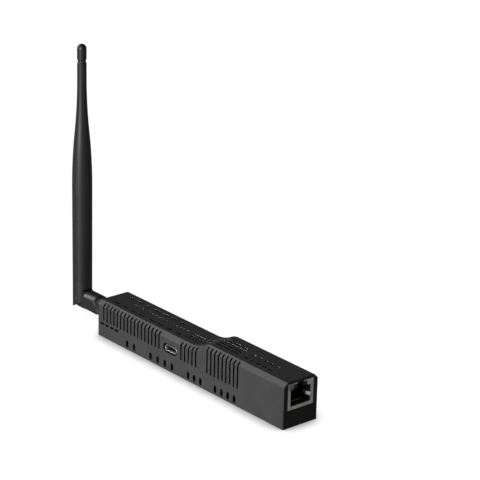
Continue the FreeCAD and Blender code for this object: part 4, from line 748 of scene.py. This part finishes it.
def turned_pins():
    """Hinge pins with a shallow domed end and a lathe centre mark."""
    low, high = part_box("hinge_pins")
    radius = (high.x - low.x) / 2
    middle = (low + high) / 2
    inner_end = 1.25 * MM
    reach = high.y
    stations = [(inner_end, radius * 0.9), (inner_end + 0.12 * MM, radius), (reach - 0.35 * MM, radius),
                (reach - 0.2 * MM, radius * 0.96), (reach - 0.08 * MM, radius * 0.84), (reach, radius * 0.55),
                (reach, radius * 0.22), (reach - 0.16 * MM, radius * 0.06)]
    first = turn("hinge_pins_turned", (middle.x, 0, middle.z), (0, 1, 0), stations, sides=40)
    start()
    second = turn("hinge_pin_far", (middle.x, 0, middle.z), (0, -1, 0), stations, sides=40)
    start()
    first.select_set(True)
    second.select_set(True)
    bpy.context.view_layer.objects.active = first
    bpy.ops.object.join()
    settle(first, "pin_steel", "antenna")
    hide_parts("hinge_pins")


CAPACITOR_PLACES = [(-32.8, -2.6), (-32.8, -1.18), (-32.8, 0.24), (-32.8, 1.66), (-4.6, -4.2), (-4.6, -2.78),
                    (-4.6, -1.36), (-4.6, 0.06), (40.6, -7.7), (40.6, -6.28)]
RESISTOR_PLACES = [(-32.8, 3.4), (-32.8, 4.82), (-32.8, 6.24), (-4.6, 4.4), (-4.6, 5.82), (-4.6, 7.24), (49.1, -4.4)]
CHIP_LENGTH = 1.6
CHIP_WIDTH = 0.8
CAP_LENGTH = 0.32
CAP_PROUD = 0.03
BOARD_TOP = 9.0


def end_caps(name, places, height):
    """Tinned end caps of the small parts, each with its solder fillet running down to the board."""
    outer = CHIP_LENGTH / 2 + CAP_PROUD
    half = CHIP_WIDTH / 2 + CAP_PROUD
    x, y = places[0]
    cap = block(name, mm(x + outer - CAP_LENGTH, y - half, BOARD_TOP),
                mm(x + outer, y + half, BOARD_TOP + height + CAP_PROUD))
    round_edges(0.05 * MM, 2)
    size = CAP_LENGTH / 2 * MM
    pick(cap, lambda vertex: vertex.co.x > size * 0.6 and vertex.co.z < 0, kind="vertices")
    bpy.ops.transform.translate(value=(0.2 * MM, 0, 0))
    bpy.ops.object.mode_set(mode="OBJECT")
    mirror = cap.copy()
    mirror.data = cap.data.copy()
    scene.collection.objects.link(mirror)
    start()
    mirror.select_set(True)
    bpy.context.view_layer.objects.active = mirror
    bpy.ops.transform.rotate(value=math.pi, orient_axis="Z", center_override=mm(x, y, BOARD_TOP))
    cap.select_set(True)
    bpy.context.view_layer.objects.active = cap
    bpy.ops.object.join()
    cap = bpy.context.active_object
    bpy.ops.object.transform_apply(location=True, rotation=True, scale=True)
    caps = repeated(cap, [mm(px - x, py - y, 0) for px, py in places])
    settle(caps, "shield_metal", "housing")


def chip_pads(name, node, per_side, pitch):
    """Solder fillets round a leadless chip, the same number on each of its four sides."""
    low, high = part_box(node)
    middle = (low + high) / 2
    half = (high.x - low.x) / 2
    pad = block(name, (middle.x + half, middle.y - 0.11 * MM, low.z),
                (middle.x + half + 0.35 * MM, middle.y + 0.11 * MM, low.z + 0.28 * MM))
    pick(pad, lambda vertex: vertex.co.x > 0 and vertex.co.z > 0, kind="vertices")
    bpy.ops.transform.translate(value=(-0.2 * MM, 0, -0.06 * MM))
    bpy.ops.mesh.select_all(action="SELECT")
    round_edges(0.03 * MM, 2)
    first = -(per_side - 1) / 2 * pitch * MM
    row = repeated(pad, [(0, first + pitch * MM * index, 0) for index in range(per_side)])
    start()
    sides = [row]
    for quarter in range(1, 4):
        side = row.copy()
        side.data = row.data.copy()
        scene.collection.objects.link(side)
        start()
        side.select_set(True)
        bpy.context.view_layer.objects.active = side
        bpy.ops.transform.rotate(value=math.pi / 2 * quarter, orient_axis="Z", center_override=middle)
        sides.append(side)
    start()
    for side in sides:
        side.select_set(True)
    bpy.context.view_layer.objects.active = row
    bpy.ops.object.join()
    settle(row, "shield_metal", "housing")


LED_PLACES = [(-17.4, 3.2), (-14.2, 3.2), (-11.0, 3.2)]
LED_TOP = 9.6


def led_lenses():
    """Domed silicone lens on each status lamp."""
    x, y = LED_PLACES[0]
    lens = turn("led_lenses", mm(x, y, LED_TOP), (0, 0, 1),
                [(0, 0.36 * MM), (0.06 * MM, 0.36 * MM), (0.16 * MM, 0.32 * MM), (0.25 * MM, 0.24 * MM),
                 (0.31 * MM, 0.12 * MM), (0.33 * MM, 0.03 * MM)], sides=24)
    lenses = repeated(lens, [mm(px - x, py - y, 0) for px, py in LED_PLACES])
    settle(lenses, "white_plastic", "housing")


def capacitor_can():
    """Drawn can of the bulk capacitor: rounded shoulder and the crimp groove that holds its seal."""
    low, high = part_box("bulk_capacitor")
    middle = (low + high) / 2
    foot = low.z + 0.9 * MM
    radius = 3.15 * MM
    height = high.z - foot
    can = turn("bulk_capacitor_can", (middle.x, middle.y, foot), (0, 0, 1),
               [(0, radius * 0.96), (0.2 * MM, radius), (0.9 * MM, radius), (1.1 * MM, radius * 0.955),
                (1.35 * MM, radius * 0.94), (1.6 * MM, radius * 0.955), (1.8 * MM, radius),
                (height - 0.45 * MM, radius), (height - 0.18 * MM, radius * 0.965), (height - 0.04 * MM, radius * 0.91),
                (height, radius * 0.84)], sides=64)
    settle(can, "capacitor_metal", "housing")
    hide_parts("bulk_capacitor")
    seat = block("bulk_capacitor_seat", low, (high.x, high.y, foot))
    half = (high.x - low.x) / 2
    pick(seat, lambda edge: abs(seat.data.vertices[edge.vertices[0]].co.z - seat.data.vertices[edge.vertices[1]].co.z)
         > 0.5 * MM, kind="edges")
    round_edges(1.2 * MM, 1)
    bpy.ops.mesh.select_all(action="SELECT")
    round_edges(0.08 * MM, 2)
    settle(seat, "insert_black", "housing")
    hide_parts("bulk_capacitor")


def transformer_feet():
    """Tinned gull-wing feet down both sides of the transformer's base."""
    low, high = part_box("transformer_bobbin")
    foot = block("transformer_feet", (low.x + 1.2 * MM, high.y, low.z + 0.5 * MM),
                 (low.x + 1.8 * MM, high.y + 0.35 * MM, low.z + 0.75 * MM))
    pick(foot, lambda face: face.normal.y > 0.9)
    extrude((0, 0.25 * MM, -0.5 * MM))
    extrude((0, 0.7 * MM, 0))
    bpy.ops.mesh.select_all(action="SELECT")
    round_edges(0.04 * MM, 2)
    row = repeated(foot, [(2.43 * MM * index, 0, 0) for index in range(4)])
    start()
    other = row.copy()
    other.data = row.data.copy()
    scene.collection.objects.link(other)
    other.select_set(True)
    bpy.context.view_layer.objects.active = other
    bpy.ops.transform.rotate(value=math.pi, orient_axis="Z", center_override=(low + high) / 2)
    row.select_set(True)
    bpy.context.view_layer.objects.active = row
    bpy.ops.object.join()
    settle(row, "shield_metal", "housing")


knurled_nut()
jack_springs()
usb_shell()
pressed_can("radio_can", "radio_can_pressed")
pressed_can("processor_can", "processor_can_pressed")
turned_pins()
end_caps("capacitor_caps", CAPACITOR_PLACES, 0.8)
end_caps("resistor_caps", RESISTOR_PLACES, 0.4)
chip_pads("network_chip_pads", "network_chip", 8, 0.5)
chip_pads("bridge_chip_pads", "bridge_chip", 6, 0.5)
led_lenses()
capacitor_can()
transformer_feet()


# Light, floor and camera

def add_floor():
    """Pale round floor. The camera and shiny parts also see its own paleness; for the camera it carries a painted
    contact shadow close to the stick, weaker left of the housing.
    """
    start()
    bpy.ops.mesh.primitive_circle_add(vertices=96, radius=8.0, fill_type="NGON", location=(0, 0, cad_box[0].z))
    floor = bpy.context.active_object
    floor.name = "floor"
    finish = Finish("floor_pale", Roughness=0.9, Specular_IOR_Level=0.05, Emission_Strength=1.0)
    finish.paint(Base_Color=(0.12, 0.12, 0.12))
    seen = finish.add("ShaderNodeLightPath", output="Is Camera Ray")
    glossy = finish.add("ShaderNodeLightPath", output="Is Glossy Ray")
    through = finish.add("ShaderNodeLightPath", output="Is Transmission Ray")
    # Painted contact shadow: ambient occlusion dims the floor's emission near the stick, down to a small share left of
    # x = -80 mm.
    shade = finish.add("ShaderNodeAmbientOcclusion", {"samples": 12}, {"Distance": 0.012}, output="AO")
    x, y, z = finish.axes()
    painted_shadow_weight = x.ramp(-0.08, -0.07, 0.12, 1.0)
    paleness = 1 - (1 - shade.ramp(0.35, 0.95, 0.25, 1.0)) * painted_shadow_weight
    finish.paint(Emission_Color=finish.mix(seen * paleness + (glossy + through) * 0.25, (0, 0, 0), (1, 1, 1)))
    floor.data.materials.append(finish.material)


def add_sun(name, azimuth, elevation, strength, spread, diffuse=True, glossy=True):
    """Sun that shines from that azimuth and elevation. Azimuth 0 is the front and 90 the right end."""
    lamp = bpy.data.lights.new(name, "SUN")
    lamp.energy = strength
    lamp.angle = math.radians(spread)
    holder = bpy.data.objects.new(name, lamp)
    scene.collection.objects.link(holder)
    turn, lift = math.radians(azimuth), math.radians(elevation)
    towards = Vector((math.sin(turn) * math.cos(lift), -math.cos(turn) * math.cos(lift), math.sin(lift)))
    holder.rotation_euler = towards.to_track_quat("Z", "Y").to_euler()
    holder.location = towards
    holder.visible_diffuse = diffuse
    holder.visible_glossy = glossy


def add_softbox(name, place, aim, width, height, power):
    """Square-edged soft lamp near the stick, hidden from the camera and from gloss."""
    lamp = bpy.data.lights.new(name, "AREA")
    lamp.shape = "RECTANGLE"
    lamp.size = width
    lamp.size_y = height
    lamp.energy = power
    holder = bpy.data.objects.new(name, lamp)
    scene.collection.objects.link(holder)
    holder.location = place
    holder.rotation_euler = (Vector(place) - Vector(aim)).to_track_quat("Z", "Y").to_euler()
    holder.visible_camera = False
    holder.visible_glossy = False


def add_world():
    """Dim room light. The camera sees it white, and shiny parts see a white band at the horizon."""
    world = bpy.data.worlds.new("room")
    scene.world = world
    world.use_nodes = True
    tree = world.node_tree
    place = tree.nodes.new("ShaderNodeTexCoord")
    split = tree.nodes.new("ShaderNodeSeparateXYZ")
    band = tree.nodes.new("ShaderNodeMapRange")
    path = tree.nodes.new("ShaderNodeLightPath")
    either = tree.nodes.new("ShaderNodeMath")
    either.operation = "ADD"
    share = tree.nodes.new("ShaderNodeMath")
    share.operation = "MULTIPLY_ADD"
    white = tree.nodes.new("ShaderNodeBackground")
    choice = tree.nodes.new("ShaderNodeMixShader")
    dim = tree.nodes["Background"]
    tree.links.new(place.outputs["Generated"], split.inputs["Vector"])
    tree.links.new(split.outputs["Z"], band.inputs["Value"])
    band.inputs["From Min"].default_value = 0.02
    band.inputs["From Max"].default_value = 0.15
    band.inputs["To Min"].default_value = 0.4
    band.inputs["To Max"].default_value = 0.0
    tree.links.new(path.outputs["Is Glossy Ray"], either.inputs[0])
    tree.links.new(path.outputs["Is Transmission Ray"], either.inputs[1])
    tree.links.new(either.outputs[0], share.inputs[0])
    tree.links.new(band.outputs["Result"], share.inputs[1])
    tree.links.new(path.outputs["Is Camera Ray"], share.inputs[2])
    dim.inputs["Color"].default_value = (0.09, 0.09, 0.09, 1.0)
    white.inputs["Color"].default_value = (1.0, 1.0, 1.0, 1.0)
    tree.links.new(share.outputs[0], choice.inputs["Fac"])
    tree.links.new(dim.outputs["Background"], choice.inputs[1])
    tree.links.new(white.outputs["Background"], choice.inputs[2])
    tree.links.new(choice.outputs["Shader"], tree.nodes["World Output"].inputs["Surface"])


def add_camera(azimuth, elevation, roll, distance, across, up_by, focal_pixels):
    """Camera at the photograph's angle. across and up_by shift the point that it looks at, in metres."""
    turn, lift = math.radians(azimuth), math.radians(elevation)
    back = Vector((math.sin(turn) * math.cos(lift), -math.cos(turn) * math.cos(lift), math.sin(lift)))
    right = Vector((math.cos(turn), math.sin(turn), 0.0))
    up = back.cross(right)
    place = right * across + up * up_by + back * distance
    tilt = math.radians(roll)
    right_rolled = right * math.cos(tilt) + up * math.sin(tilt)
    up_rolled = up * math.cos(tilt) - right * math.sin(tilt)
    lens = bpy.data.cameras.new("photo_camera")
    lens.sensor_width = 36.0
    lens.lens = focal_pixels / PHOTO_WIDTH * lens.sensor_width
    lens.clip_start = 0.05
    lens.clip_end = 30.0
    camera = bpy.data.objects.new("photo_camera", lens)
    scene.collection.objects.link(camera)
    turned = Matrix((right_rolled, up_rolled, back)).transposed()
    camera.matrix_world = Matrix.Translation(place) @ turned.to_4x4()
    scene.camera = camera


add_floor()
add_world()
add_softbox("front_softbox", (0.0, -0.38, 0.1), (0.0, 0.0, 0.02), 0.14, 0.18, 2.5)
add_sun("back_fill", 197.0, 7.0, 1.3, 30.0, glossy=False)
add_sun("left_sheen", -64.0, 38.0, 2.5, 25.0, diffuse=False)
add_sun("front_sheen", 15.0, 10.0, 8.0, 24.0, diffuse=False)
add_camera(49.298, 20.178, 1.437, 1.025537, 0.016934, 0.067348, 2064.213)
scene.view_settings.view_transform = "Standard"
